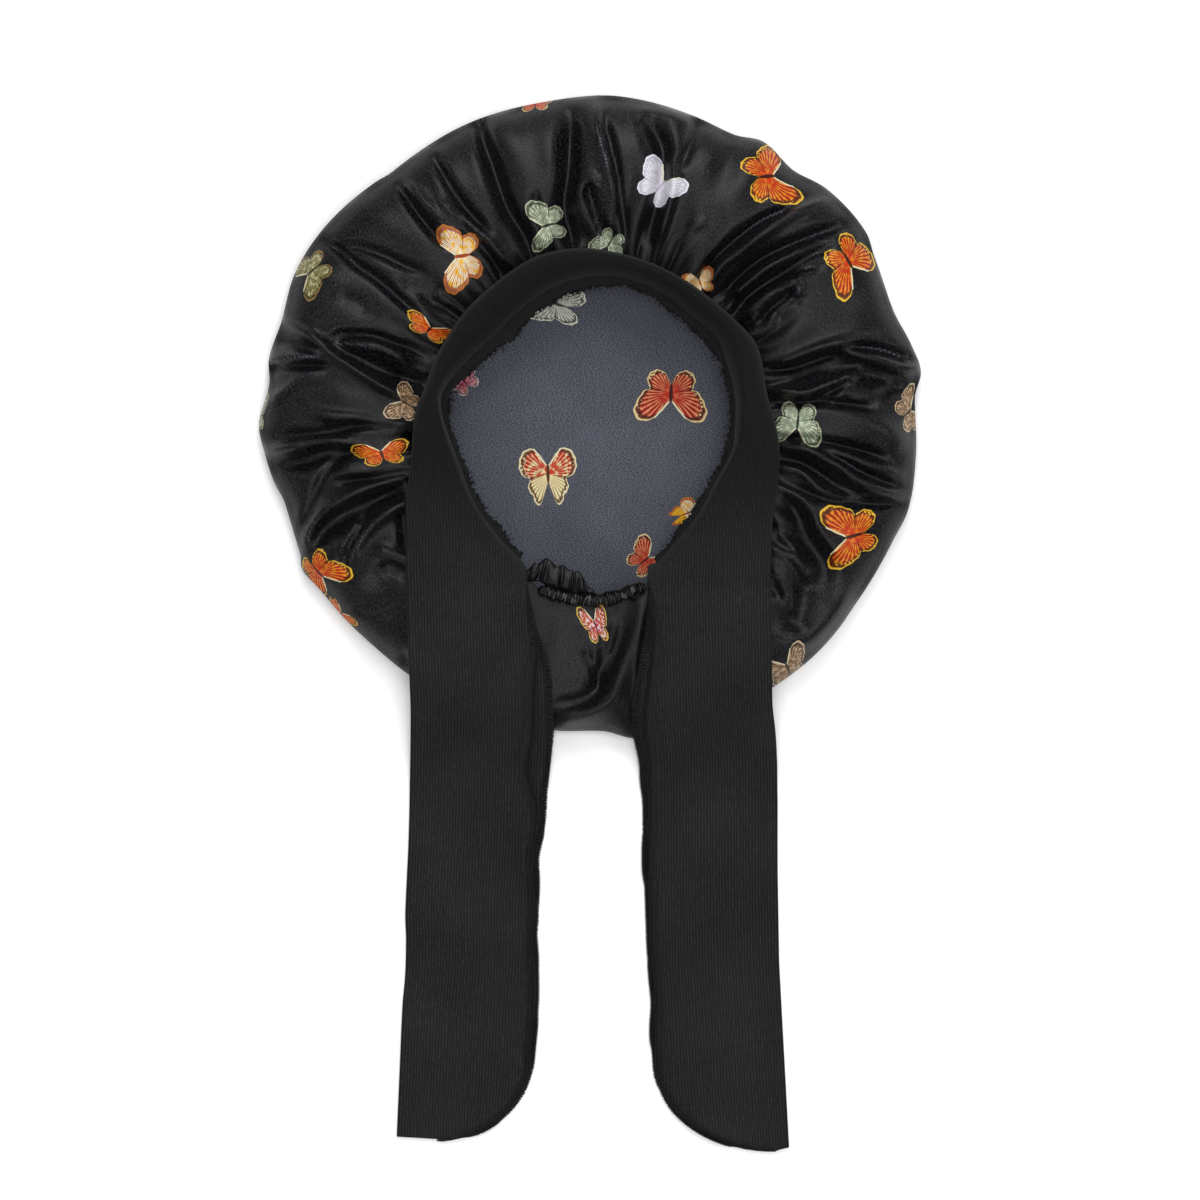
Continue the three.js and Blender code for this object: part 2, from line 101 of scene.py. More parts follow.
BAND = table(
    "seam_x seam_y edge_x edge_y crest height",
    (-37.4, -80.3, -100.1, -80.3, 0.14, 39),
    (-50.6, -66, -100.1, -63.8, 0.09, 40),
    (-64.4, -46.8, -100.1, -45.7, 0.08, 41),
    (-73.2, -24.8, -97.4, -23.7, 0.16, 43),
    (-82, 0, -95.7, 0.6, 0.1, 46),
    (-81.6, 15.4, -90.2, 16.5, 0.3, 48),
    (-68.8, 31.9, -83.6, 33.6, 0.75, 50),
    (-52.3, 47.3, -69.3, 56.1, 0.78, 50),
    (-40.2, 59.4, -51.2, 73.2, 0.8, 50),
    (-22, 72.1, -29.7, 86.9, 0.78, 50),
    (-1.1, 78.1, -5, 91.3, 0.75, 50),
    (17, 77.5, 21, 87, 0.75, 50),
    (37.4, 69.9, 42.5, 78.5, 0.75, 50),
    (52.8, 58.3, 61.1, 66.5, 0.75, 50),
    (68.2, 44.6, 79.8, 50.1, 0.7, 50),
    (74.8, 28.6, 89.7, 37, 0.55, 50),
    (78.7, 11, 94.6, 12.1, 0.3, 48),
    (78.7, -5.5, 99.6, -6.6, 0.2, 46),
    (76.5, -19.3, 101.2, -22, 0.1, 44),
    (66.6, -37.4, 99.6, -39.6, 0.1, 42),
    (57.8, -53.9, 97.4, -56.1, 0.12, 41),
    (44, -70.4, 96.8, -72.6, 0.2, 40),
    (33, -83.6, 96.3, -88, 0.2, 39),
)
LEFT_TIE = table(
    "y inner outer recess",
    (-90, 36.3, 99.9, 0), (-99, 34.7, 99.6, 0), (-112, 31, 99.3, 0.5), (-127, 26, 99, 3.5),
    (-143, 22.6, 98.5, 8), (-157, 22, 98.2, 9), (-172, 21.5, 98.5, 10), (-190, 23.7, 99, 11),
    (-201, 24.8, 99.3, 8), (-212, 25.3, 99.5, 4.5), (-228, 26.6, 99.9, 4.2),
    (-241, 29.7, 100.4, 3.4), (-253, 29.5, 101, 2.6), (-272, 29.7, 101.8, 2.2),
    (-285, 30.4, 101.4, 2.6), (-304, 29.5, 101.8, 2.2), (-323, 29.7, 103.4, 2.4),
    (-348, 32, 104.5, 1.8),
)
RIGHT_TIE = table(
    "y inner outer recess",
    (-91, 31.8, 96.3, 0), (-99, 30.8, 96.3, 1), (-112, 29.3, 96.6, 4), (-127, 27, 97, 5.5),
    (-148, 24, 97.4, 6), (-158, 22.6, 97.9, 6), (-171, 22.6, 99.6, 6), (-186, 25.8, 100.7, 5),
    (-200, 26.6, 101, 4), (-212, 28.1, 101.2, 3.2), (-245, 28.3, 101.2, 2.4),
    (-261, 29.3, 101.4, 2.6), (-290, 30.3, 101.9, 2.2), (-297, 30.9, 102, 2.4),
    (-315, 32.4, 102.9, 2.2), (-339, 32.4, 104.2, 2.4), (-352, 33.5, 104.9, 1.8),
)
CORNER_RECESS = 1.4  # setback of the front layer round a tie's corner
TIE_ENDS = {
    "left": dict(side=-1, rows=LEFT_TIE, wide=49, long=47.5, outer=106.5, drop=46),
    "right": dict(side=1, rows=RIGHT_TIE, wide=66, long=50, outer=107.5, drop=48),
}
TIE_DRAPE = table(
    "y height",
    (-420, 1), (-225, 1), (-208, 1.4), (-195, 3.5), (-180, 9.5), (-165, 18), (-150, 26),
    (-130, 33), (-100, 37), (-60, 38),
)
SEAM_INNER = table(
    "angle radius",
    (9, 75.5), (20, 75.6), (33, 74.8), (50, 72), (65, 74), (76, 74.5), (86, 71.5), (108, 67),
    (126, 62.5), (136, 61), (155, 68.5), (170, 77), (180, 77.5), (200, 73.5), (217, 75.5),
    (232, 78.5), (243, 82), (293, 83), (308, 76.5), (317, 74.5), (330, 72), (345, 74.5),
)
SEAM_START, SEAM_END = 243.0, -66.0
CASING_PATH = table(
    "x y",
    (-28.9, -92), (-26, -94), (-17, -97), (-8, -98.5), (3, -99.5), (16, -96.5),
    (29, -91),
)

# Smooth curves


def central_slopes(places, values):
    slopes = np.empty_like(values)
    slopes[1:-1] = (values[2:] - values[:-2]) / (places[2:] - places[:-2])
    slopes[0] = (values[1] - values[0]) / (places[1] - places[0])
    slopes[-1] = (values[-1] - values[-2]) / (places[-1] - places[-2])
    return slopes


def curve_through(rows, key, column, period=0):
    """A smooth curve through two columns of a table. With a period it runs round."""
    places, values = rows[key], rows[column]
    if period:
        places = np.concatenate([places - period, places, places + period])
        values = np.tile(values, 3)
    order = np.argsort(places)
    places, values = places[order], values[order]
    slopes = central_slopes(places, values)

    def at(where):
        where = np.asarray(where, float)
        where = np.mod(where, period) if period else np.clip(where, places[0], places[-1])
        i = np.clip(np.searchsorted(places, where, side="right") - 1, 0, len(places) - 2)
        span = places[i + 1] - places[i]
        u = (where - places[i]) / span
        rise = u * u * (3 - 2 * u)
        leave = u * (1 - u) ** 2 * span
        arrive = u * u * (u - 1) * span
        level = values[i] * (1 - rise) + values[i + 1] * rise
        return level + slopes[i] * leave + slopes[i + 1] * arrive

    return at


def between(rows, places):
    """Rows of numbers at places between them: 2.5 is half way from row 2 to row 3."""
    last = len(rows) - 1
    i = np.minimum(np.floor(places).astype(int), last - 1)
    u = (places - i)[:, None]
    before, here, after, beyond = (rows[np.clip(i + k, 0, last)] for k in (-1, 0, 1, 2))
    rise = u * u * (3 - 2 * u)
    leave = u * (1 - u) ** 2 * (after - before) / 2
    arrive = u * u * (u - 1) * (beyond - here) / 2
    return here * (1 - rise) + after * rise + leave + arrive


def smoothstep(x, low, high):
    u = np.clip((np.asarray(x, float) - low) / (high - low), 0, 1)
    return u * u * (3 - 2 * u)


def within(x, start, full, fading, end):
    """1 from full to fading, and smoothly down to 0 at start and end."""
    return smoothstep(x, start, full) * (1 - smoothstep(x, fading, end))


def mix(a, b, share):
    return a + (b - a) * share


def smooth_noise(places, period, waves, seed):
    """A smooth random curve, mostly between -1 and 1, that repeats after a period."""
    random = np.random.default_rng(seed)
    total = np.zeros(np.shape(places))
    for wave in waves:
        size, start = random.normal(), random.uniform()
        total = total + size * np.cos(2 * np.pi * (wave * places / period + start))
    return total / math.sqrt(len(waves))


def angle_of(x, y):
    return np.degrees(np.arctan2(y, x)) % 360


def turn_between(a, b):
    """Degrees from b to a the short way round."""
    return (a - b + 180) % 360 - 180


def polar_points(angle, radius, height):
    turn = np.radians(angle)
    height = np.broadcast_to(height, np.shape(radius))
    return np.stack([radius * np.cos(turn), radius * np.sin(turn), height], axis=-1)


def unit(vectors):
    length = np.linalg.norm(vectors, axis=-1, keepdims=True)
    return vectors / np.maximum(length, 1e-9)


def length_along(points):
    """How far along a line of points each one is."""
    steps = np.linalg.norm(np.diff(points, axis=-2), axis=-1)
    return np.insert(np.cumsum(steps, axis=-1), 0, 0, axis=-1)


# Where the pieces lie

opening_rows = {
    "angle": np.concatenate([
        [NAPE_CORNER[0]],
        angle_of(BAND["seam_x"], BAND["seam_y"]),
        angle_of(CASING_PATH["x"], CASING_PATH["y"]),
    ]),
    "radius": np.concatenate([
        [NAPE_CORNER[1]],
        np.hypot(BAND["seam_x"], BAND["seam_y"]),
        np.hypot(CASING_PATH["x"], CASING_PATH["y"]) + CASING_REACH,
    ]),
}
gather_rows = {"rim": GATHERS["rim"], "shift": GATHERS["seam"] - GATHERS["rim"]}
opening_radius = curve_through(opening_rows, "angle", "radius", 360)
rim_radius = curve_through(RIM, "angle", "radius", 360)
top_height = curve_through(TOP_PROFILE, "share", "height")
tie_drape = curve_through(TIE_DRAPE, "y", "height")
seam_inner = curve_through(SEAM_INNER, "angle", "radius", 360)
seam_shift = curve_through(gather_rows, "rim", "shift", 360)

STRIP_RISE = (-90, -50)  # y over which the strip comes on to the gathers
TIE_SPAN = (12, 24, 101, 112)  # across from the middle line, where the satin is under a tie
TIE_TOP = (-80, -60)  # y over which that ends


def mean_crown_height(x, y):
    angle = angle_of(x, y)
    inner = opening_radius(angle)
    share = (np.hypot(x, y) - inner) / (rim_radius(angle) - inner)
    return top_height(np.clip(share, 0, 1))


def lying_height(x, y):
    """Height of the middle of the band's or a tie's wall where it lies."""
    drape = np.maximum(tie_drape(y), KNIT_WALL / 2)
    return mix(drape, mean_crown_height(x, y) + BAND_OVER_CROWN, smoothstep(y, *STRIP_RISE))


def under_ties(x, y):
    """1 under the ties and 0 clear of them."""
    return within(np.abs(x), *TIE_SPAN) * (1 - smoothstep(y, *TIE_TOP))


# Meshes of cloth and thread


def grid_normals(points, ring):
    """A normal at each point of a grid of points: its columns' direction cross its rows'."""
    along = np.gradient(points, axis=0)
    if ring:
        across = (np.roll(points, -1, axis=1) - np.roll(points, 1, axis=1)) / 2
    else:
        across = np.gradient(points, axis=1)
    return unit(np.cross(across, along))


def grid_faces(rows, columns, ring):
    """Corner numbers of each square of a grid of points, turned as its normals are."""
    count = columns if ring else columns - 1
    i, j = np.meshgrid(np.arange(rows - 1), np.arange(count), indexing="ij")
    right = (j + 1) % columns
    here, above = i * columns, (i + 1) * columns
    return np.stack([here + j, here + right, above + right, above + j], axis=-1).reshape(-1, 4)


def open_edges(rows, columns, ring):
    """The open edges of a grid, each as the numbers of its points in order."""
    last = (rows - 1) * columns + np.arange(columns)
    first = np.arange(columns)
    if ring:
        return [np.append(last, last[0]), np.append(first, first[0])[::-1]]
    left = np.arange(rows) * columns
    return [last, first[::-1], left, (left + columns - 1)[::-1]]


def new_piece(name, vertices, faces):
    """An object from vertices in millimetres. Its faces are shaded smooth."""
    mesh = bpy.data.meshes.new(name)
    mesh.from_pydata((vertices * MM).tolist(), [], faces)
    mesh.polygons.foreach_set("use_smooth", np.ones(len(mesh.polygons), bool))
    piece = bpy.data.objects.new(name, mesh)
    bpy.context.scene.collection.objects.link(piece)
    return piece


def cloth_shell(name, points, thickness, ring=False, middle=False):
    """A sheet of cloth with its thickness, as a closed mesh. points is a grid over its outer face,
    the one that the normals leave; middle closes the hole inside a ring's first row."""
    rows, columns = points.shape[:2]
    back = points - grid_normals(points, ring) * thickness
    side = rows * columns
    front = grid_faces(rows, columns, ring)
    quads = [front, front[:, ::-1] + side]
    edges = open_edges(rows, columns, ring)
    for edge in edges[:1] if middle else edges:
        a, b = edge[:-1], edge[1:]
        quads.append(np.stack([a, b, b + side, a + side], axis=-1))
    faces = np.concatenate(quads).tolist()
    if middle:
        faces.append(np.arange(columns)[::-1].tolist())
        faces.append((np.arange(columns) + side).tolist())
    return new_piece(name, np.concatenate([points.reshape(-1, 3), back.reshape(-1, 3)]), faces)


def set_uv(piece, name, per_vertex):
    """A UV map, in millimetres, from a pair of numbers at each vertex."""
    mesh = piece.data
    layer = mesh.uv_layers.new(name=name)
    corner_vertex = np.empty(len(mesh.loops), int)
    mesh.loops.foreach_get("vertex_index", corner_vertex)
    layer.data.foreach_set("uv", per_vertex[corner_vertex].astype(np.float32).ravel())


def set_attribute(piece, name, kind, domain, values):
    """A number or a colour at each point or corner, which a material reads by its name."""
    attribute = piece.data.attributes.new(name, kind, domain)
    field = "color" if kind == "FLOAT_COLOR" else "value"
    attribute.data.foreach_set(field, values.astype(np.float32).ravel())


def threads(name, lines, radius, sides=4):
    """Fine threads as one mesh. lines is an array of threads, each a row of points."""
    count, steps = lines.shape[:2]
    along = unit(np.gradient(lines, axis=1))
    upright = np.abs(along[..., 2:]) > 0.9
    first = unit(np.cross(along, np.where(upright, [[[1.0, 0, 0]]], [[[0, 0, 1.0]]])))
    second = np.cross(along, first)
    turn = np.arange(sides)[:, None] * 2 * np.pi / sides
    around = first[:, :, None] * np.cos(turn) + second[:, :, None] * np.sin(turn)
    vertices = (lines[:, :, None] + radius * around).reshape(-1, 3)
    start = np.arange(count)[:, None, None] * steps * sides
    step = np.arange(steps - 1)[None, :, None] * sides
    k = np.arange(sides)[None, None, :]
    a, b = start + step + k, start + step + (k + 1) % sides
    walls = np.stack([a, b, b + sides, a + sides], axis=-1).reshape(-1, 4).tolist()
    begins = (start[:, 0] + np.arange(sides)[::-1]).tolist()
    ends = (start[:, 0] + (steps - 1) * sides + np.arange(sides)).tolist()
    return new_piece(name, vertices, walls + begins + ends)


# The crown's shape

COLUMNS = 640
BASE_ROWS = 11
RIM_ROWS = 8
TOP_ROWS = 55
TOP_SPREAD = 1.15  # above 1, the rows of the top lie closer together near the seam
MIDDLE_RADIUS = 10.0
NAPE_SEAM = (244, 250, 290, 296)  # angles over which the satin reaches in under the casing
NAPE_CALM = (240, 252, 288, 300)  # and over which it lies calmer and dips below it
NAPE_DIP = 7.0
CALMED = 0.75  # share of the small gathers that a tie or the casing presses flat
SEWN_FLAT = 0.07  # share of the top, next to the seam, over which folds and gathers start
UNEVEN_HEIGHT = 1.2
UNEVEN_START = (0.05, 0.3)  # shares of the top over which the unevenness comes in
PUCKER_TURN = 3.86775  # degrees round the opening between small gathers, about 5 mm
PUCKER_GAP = (247, 293)  # angles that have none, at the nape
PUCKER_REACHES = (0.26, 0.34, 0.45, 0.65)  # shares of the top that they reach over
PUCKER_ODDS = (0.35, 0.3, 0.25, 0.1)
PUCKER_DEPTHS = (2.4, 4.8)
PUCKER_BOW = (-1.5, 1.5)  # degrees that one swings out on its way
PUCKER_WIDTH, PUCKER_SPREAD = 1.05, 4.5  # half-width at the seam, and what it grows by
PUCKER_FADE = (0.5, 1.1)  # shares of its reach over which it dies out
FOLD_STRENGTH = 1.55

# Ridges and valleys of the satin that the photograph shows: height, half-width in millimetres and
# a line of the photograph's pixels.
FOLDS = [
    (4.5, 2.6, [(283, 320), (310, 336), (330, 352), (350, 366), (375, 382), (400, 396), (425, 399)]),
    (-5.5, 6, [(330, 344), (355, 358), (375, 368), (400, 378), (425, 386)]),
    (-4.5, 2.2, [(335, 339), (350, 337), (375, 338), (395, 345), (415, 352), (435, 363)]),
    (2.5, 2.4, [(340, 346), (360, 349), (380, 350), (395, 356), (410, 368)]),
    (-5, 2.6, [(328, 243), (345, 255), (360, 268), (380, 282), (400, 300), (420, 318)]),
    (-3.2, 2.2, [(345, 247), (365, 251), (385, 258), (405, 268), (424, 276)]),
    (-2.5, 4.5, [(403, 287), (425, 292), (440, 296)]),
    (-3, 2, [(425, 300), (440, 308), (455, 315), (466, 323)]),
    (-1.8, 4.5, [(342, 299), (358, 305), (372, 313)]),
    (-4.5, 2.6, [(270, 368), (290, 367), (310, 367), (328, 369)]),
    (2.4, 2, [(270, 361), (290, 362), (315, 358), (332, 361)]),
    (-2.5, 2.6, [(281, 342), (300, 347), (322, 357)]),
    (2, 2.6, [(271, 403), (290, 390), (305, 380), (327, 371)]),
    (3, 3, [(300, 407), (330, 417), (360, 420), (380, 424), (400, 426), (416, 423)]),
    (-4, 4.2, [(273, 436), (310, 437), (345, 431), (370, 428), (398, 431)]),
    (3, 2.2, [(350, 437), (370, 433), (390, 434), (405, 440), (416, 452)]),
    (4, 2.3, [(270, 452), (290, 449), (310, 444), (330, 442), (350, 445), (366, 447)]),
    (-4.5, 5, [(283, 466), (310, 462), (330, 455), (350, 452), (366, 453)]),
    (-2.8, 2, [(355, 455), (340, 462), (328, 475), (320, 490), (312, 510), (306, 530)]),
    (4.5, 3.6, [(414, 478), (395, 483), (370, 492), (345, 502), (325, 515), (312, 532), (306, 552)]),
    (-3.2, 2.4, [(343, 483), (370, 480), (395, 476), (413, 472)]),
    (1.8, 2, [(333, 479), (350, 474), (380, 473)]),
    (-5.5, 7, [(318, 547), (325, 531), (345, 516), (365, 508), (390, 497), (407, 494)]),
    (3.5, 3.2, [(412, 504), (395, 510), (375, 525), (362, 541), (354, 558)]),
    (-3, 2.2, [(370, 515), (362, 530), (352, 548), (345, 567)]),
    (2, 2, [(364, 521), (350, 540), (344, 552)]),
    (-3.2, 2.6, [(404, 512), (406, 530), (407, 550)]),
    (2.4, 2.6, [(378, 549), (400, 557), (412, 563)]),
    (-2.4, 4, [(382, 565), (400, 570), (412, 576)]),
    (-2, 3.6, [(360, 611), (380, 602), (397, 597)]),
    (-2.4, 3, [(405, 652), (407, 658), (409, 664)]),
    (-4.5, 2.4, [(402, 190), (415, 210), (430, 230), (447, 250)]),
    (2.4, 2.5, [(408, 187), (425, 205), (447, 227)]),
    (-4.2, 2.3, [(436, 162), (445, 178), (455, 195), (470, 215), (488, 234)]),
    (2.8, 2, [(440, 205), (460, 222), (480, 238), (500, 258), (513, 273)]),
    (-6.5, 4.2, [(480, 122), (485, 145), (492, 165), (500, 190), (510, 215), (525, 240), (533, 264)]),
    (-3.2, 2, [(455, 215), (470, 235), (485, 250), (500, 270), (506, 282)]),
    (-3, 2, [(536, 198), (538, 215), (546, 237)]),
    (-7.5, 5, [(572, 122), (570, 150), (568, 180), (565, 210), (571, 235), (575, 250)]),
    (3.4, 2.3, [(595, 110), (600, 140), (608, 170), (615, 200), (619, 237)]),
    (-4.4, 2.5, [(602, 122), (610, 150), (616, 175), (620, 210), (624, 238)]),
    (-4.2, 2, [(586, 188), (592, 205), (597, 222), (603, 235), (609, 248)]),
    (2, 2, [(577, 203), (585, 186), (599, 185)]),
    (-5.5, 4.6, [(648, 128), (662, 150), (663, 175), (658, 200), (652, 225), (644, 252)]),
    (3, 3.2, [(668, 163), (672, 190), (667, 215), (660, 242)]),
    (2.2, 5, [(637, 114), (665, 118), (692, 123)]),
    (-2.4, 3, [(698, 123), (690, 145), (679, 172)]),
    (1.1, 1.8, [(678, 241), (688, 234), (698, 229), (707, 227)]),
    (-0.7, 2.2, [(684, 243), (695, 237), (704, 234)]),
    (4.4, 2.7, [(708, 301), (711, 285), (720, 270), (735, 258), (755, 243), (780, 225),
        (800, 213), (822, 204)]),
    (-4.4, 2.7, [(704, 291), (708, 270), (722, 253), (740, 238), (765, 221), (787, 213)]),
    (-5.5, 3.4, [(722, 301), (735, 282), (760, 262), (790, 247), (815, 237), (842, 227)]),
    (3.4, 2.4, [(728, 301), (745, 288), (765, 272), (790, 260), (812, 250)]),
    (-5, 2.8, [(735, 306), (755, 290), (775, 277), (800, 262), (827, 250)]),
    (3.4, 2.2, [(740, 320), (757, 305), (775, 292), (795, 281), (808, 275)]),
    (-4, 1.9, [(730, 319), (745, 304), (762, 291), (785, 279), (817, 267)]),
    (3.4, 1.8, [(745, 326), (765, 310), (780, 298), (792, 287), (797, 292), (790, 302),
        (778, 312), (767, 326)]),
    (-4.2, 2, [(758, 322), (775, 305), (789, 295)]),
    (-3, 2, [(773, 322), (785, 308), (797, 302)]),
    (3.4, 3, [(765, 368), (790, 362), (815, 352), (840, 345), (872, 339)]),
    (-5.5, 2, [(761, 373), (785, 370), (810, 362), (837, 354)]),
    (3, 1.9, [(838, 352), (860, 358), (880, 364), (900, 370), (920, 369)]),
    (-4, 3, [(848, 348), (880, 352), (907, 361)]),
    (-6, 7, [(788, 379), (815, 371), (840, 368), (870, 376), (903, 382)]),
    (4, 2.1, [(763, 401), (780, 394), (800, 396), (820, 390), (840, 381), (857, 372)]),
    (2, 2, [(854, 374), (845, 385), (838, 396), (829, 403)]),
    (-3.4, 2, [(813, 399), (835, 390), (846, 382)]),
    (-5.5, 2.3, [(763, 401), (790, 404), (820, 404), (845, 406), (870, 410)]),
    (-2.4, 2, [(866, 406), (885, 393), (903, 387)]),
    (2.6, 7, [(800, 413), (840, 418), (880, 430), (902, 452)]),
    (-4.8, 2.7, [(763, 437), (790, 440), (810, 441), (840, 447), (860, 452), (883, 459)]),
    (4, 2.8, [(773, 448), (795, 449), (815, 455), (835, 465), (850, 478), (870, 488), (902, 498)]),
    (2, 2.5, [(825, 450), (845, 457), (870, 466), (897, 476)]),
    (-3.2, 2, [(818, 454), (840, 463), (860, 474), (880, 482), (897, 488)]),
    (-5.4, 4, [(773, 461), (800, 465), (820, 476), (840, 490), (862, 498)]),
    (3, 2, [(776, 468), (795, 470), (808, 480), (818, 492), (837, 499)]),
    (-5, 2.4, [(773, 480), (795, 490), (815, 497), (840, 503), (870, 505), (900, 503)]),
    (3, 3.4, [(775, 484), (790, 492), (800, 502), (810, 515), (817, 530), (833, 550), (841, 562)]),
    (-5.4, 6, [(784, 498), (795, 515), (803, 535), (815, 555), (822, 571), (815, 592)]),
    (3, 2, [(769, 547), (785, 555), (797, 563), (806, 577)]),
    (-2.4, 2, [(770, 542), (790, 553)]),
    (2, 3, [(773, 523), (785, 540), (798, 556)]),
    (-4.2, 6, [(800, 574), (801, 600), (795, 620), (784, 611)]),
    (3.4, 6, [(846, 588), (835, 610), (820, 628), (805, 640), (783, 636)]),
    (2.2, 4, [(773, 563), (785, 585), (790, 602)]),
    (-1.8, 2, [(769, 584), (777, 596)]),
    (3.6, 5.5, [(540, 717), (568, 716), (590, 711), (610, 697), (626, 668), (638, 628), (643, 598)]),
    (-3.2, 4.5, [(545, 704), (572, 703), (590, 696), (602, 678), (612, 655), (622, 625)]),
    (-2, 2.6, [(585, 650), (593, 668), (600, 690)]),
    (-1.8, 2.4, [(612, 610), (604, 645), (598, 680)]),
    (1.6, 3.5, [(606, 612), (612, 632), (606, 655)]),
]
FOLD_POINTS = 20  # along a fold's smooth line
FOLD_FADE = (-0.12, 0.2, 0.8, 1.12)  # shares of the line between which a fold rises and dies out
FOLD_REACH, FOLD_MARGIN = 4.0, 8.0  # half-widths and millimetres past which it adds nothing
NARROWEST_FOLD = 2.7  # half-width that the grid of points still shows without beads
STEEPEST_FOLD = 1.65  # height to half-width


def folds_at(x, y):
    """Height that the ridges and valleys add. Each fades out towards the ends of its line."""
    height = np.zeros(np.shape(x))
    for lift, width, pixels in FOLDS:
        width = max(width, NARROWEST_FOLD)
        lift = np.clip(lift, -STEEPEST_FOLD * width, STEEPEST_FOLD * width)
        line = np.array([from_photo(*pixel) for pixel in pixels])
        line = between(line, np.linspace(0, len(line) - 1, FOLD_POINTS))
        reach = np.ptp(line, axis=0) / 2 + FOLD_REACH * width + FOLD_MARGIN
        middle_x, middle_y = line.mean(axis=0)
        near = (np.abs(x - middle_x) < reach[0]) & (np.abs(y - middle_y) < reach[1])
        if not near.any():
            continue
        begin, way = line[:-1], np.diff(line, axis=0)
        off = np.stack([x[near], y[near]], axis=-1)[:, None] - begin
        share = np.clip((off * way).sum(axis=2) / (way ** 2).sum(axis=1), 0, 1)
        far = np.linalg.norm(off - share[..., None] * way, axis=2)
        nearest = far.argmin(axis=1)
        pick = np.arange(len(nearest))
        place = (nearest + share[pick, nearest]) / len(way)
        bell = np.exp(-((far[pick, nearest] / width) ** 2))
        height[near] += lift * within(place, *FOLD_FADE) * bell
    return height


def pucker_rows():
    """The small gathers next to the seam: seam and rim angle, reach, depth and bow."""
    random = np.random.default_rng(11)
    rows = []
    seam = 0.0
    while seam < 360:
        seam += PUCKER_TURN * random.uniform(0.7, 1.35)
        if PUCKER_GAP[0] < seam < PUCKER_GAP[1]:
            continue
        rim = seam - seam_shift(seam) + random.uniform(-2, 2)
        reach = random.choice(PUCKER_REACHES, p=PUCKER_ODDS)
        depth, bow = random.uniform(*PUCKER_DEPTHS), random.uniform(*PUCKER_BOW)
        rows.append((seam, rim, reach, depth, bow))
    return np.array(rows)


def uneven_top():
    """A smooth random height over the top that runs slantwise, out and round."""
    random = np.random.default_rng(61)
    waves = []
    for _ in range(26):
        round_waves, out_waves = random.integers(9, 48), random.uniform(-2.4, 2.4)
        waves.append((round_waves, out_waves, random.uniform(0, 6.3), random.normal()))

    def at(angle, share):
        total = np.zeros(np.shape(angle))
        for round_waves, out_waves, start, size in waves:
            phase = np.radians(angle) * round_waves + 2 * math.pi * out_waves * share + start
            total += size * np.cos(phase)
        return total / math.sqrt(len(waves))

    return at


puckers = pucker_rows()
uneven_height = uneven_top()


def puckers_at(angle_seam, angle_rim, share, radius):
    """Height of the small gathers for a row of points, and of the slight unevenness beyond."""
    angle = mix(angle_seam, angle_rim, share)
    height = UNEVEN_HEIGHT * uneven_height(angle_rim, share) * smoothstep(share, *UNEVEN_START)
    wide = PUCKER_WIDTH + PUCKER_SPREAD * share
    for seam, rim, reach, depth, bow in puckers:
        line = seam + turn_between(rim, seam) * share
        line += bow * math.sin(math.pi * min(share / reach, 1))
        off = np.radians(np.abs(turn_between(angle, line))) * radius
        fade = 1 - smoothstep(share / reach, *PUCKER_FADE)
        height -= depth * fade * np.exp(-((off / wide) ** 1.5))
    return height


def top_row(rim, seam, inner, outer, share):
    """A row of points round the crown's top, at a share of the way from the seam to the rim."""
    radius = mix(inner, outer, share)
    points = polar_points(mix(seam, rim, share), radius, float(top_height(share)))
    x, y = points[:, 0], points[:, 1]
    tied = under_ties(x, y)
    below_casing = within(seam, *NAPE_CALM)
    calm = 1 - CALMED * np.maximum(tied, below_casing)
    rise = puckers_at(seam, rim, share, radius) * calm + FOLD_STRENGTH * folds_at(x, y)
    free = points[:, 2] + rise * smoothstep(share, 0, SEWN_FLAT)
    free = free - NAPE_DIP * below_casing * math.sin(math.pi * share)
    pressed = np.minimum(free, lying_height(x, y) - CROWN_UNDER_TIES)
    points[:, 2] = mix(free, pressed, tied)
    return points


def crown_points():
    """A grid over the crown's outer face, from its middle on the surface over the rim to the
    seam, with each row's distance from the middle along the cloth."""
    rim = np.arange(COLUMNS) * 360 / COLUMNS
    seam = rim + seam_shift(rim)
    outer = rim_radius(rim)
    inner = opening_radius(seam) + mix(SATIN_SHORT, -CASING_SEAM, within(seam, *NAPE_SEAM))
    rows = []
    for share in np.arange(BASE_ROWS + 1) / BASE_ROWS:
        rows.append(polar_points(rim, mix(MIDDLE_RADIUS, outer - RIM_TURN, share), 0.0))
    for turn in np.arange(1, RIM_ROWS + 1) * math.pi / 2 / RIM_ROWS:
        out, up = RIM_TURN * (1 - math.sin(turn)), RIM_HEIGHT * (1 - math.cos(turn))
        rows.append(polar_points(rim, outer - out, up))
    for k in range(1, TOP_ROWS + 1):
        rows.append(top_row(rim, seam, inner, outer, (1 - k / TOP_ROWS) ** TOP_SPREAD))
    points = np.array(rows)
    steps = np.linalg.norm(np.diff(points, axis=0), axis=2).mean(axis=1)
    return points, MIDDLE_RADIUS + np.insert(np.cumsum(steps), 0, 0)


# Materials


def colour(hex_code):
    """An sRGB colour written as hex, as linear red, green, blue and alpha."""
    parts = [int(hex_code[k:k + 2], 16) / 255 for k in (1, 3, 5)]
    linear = [c / 12.92 if c <= 0.04045 else ((c + 0.055) / 1.055) ** 2.4 for c in parts]
    return (*linear, 1.0)


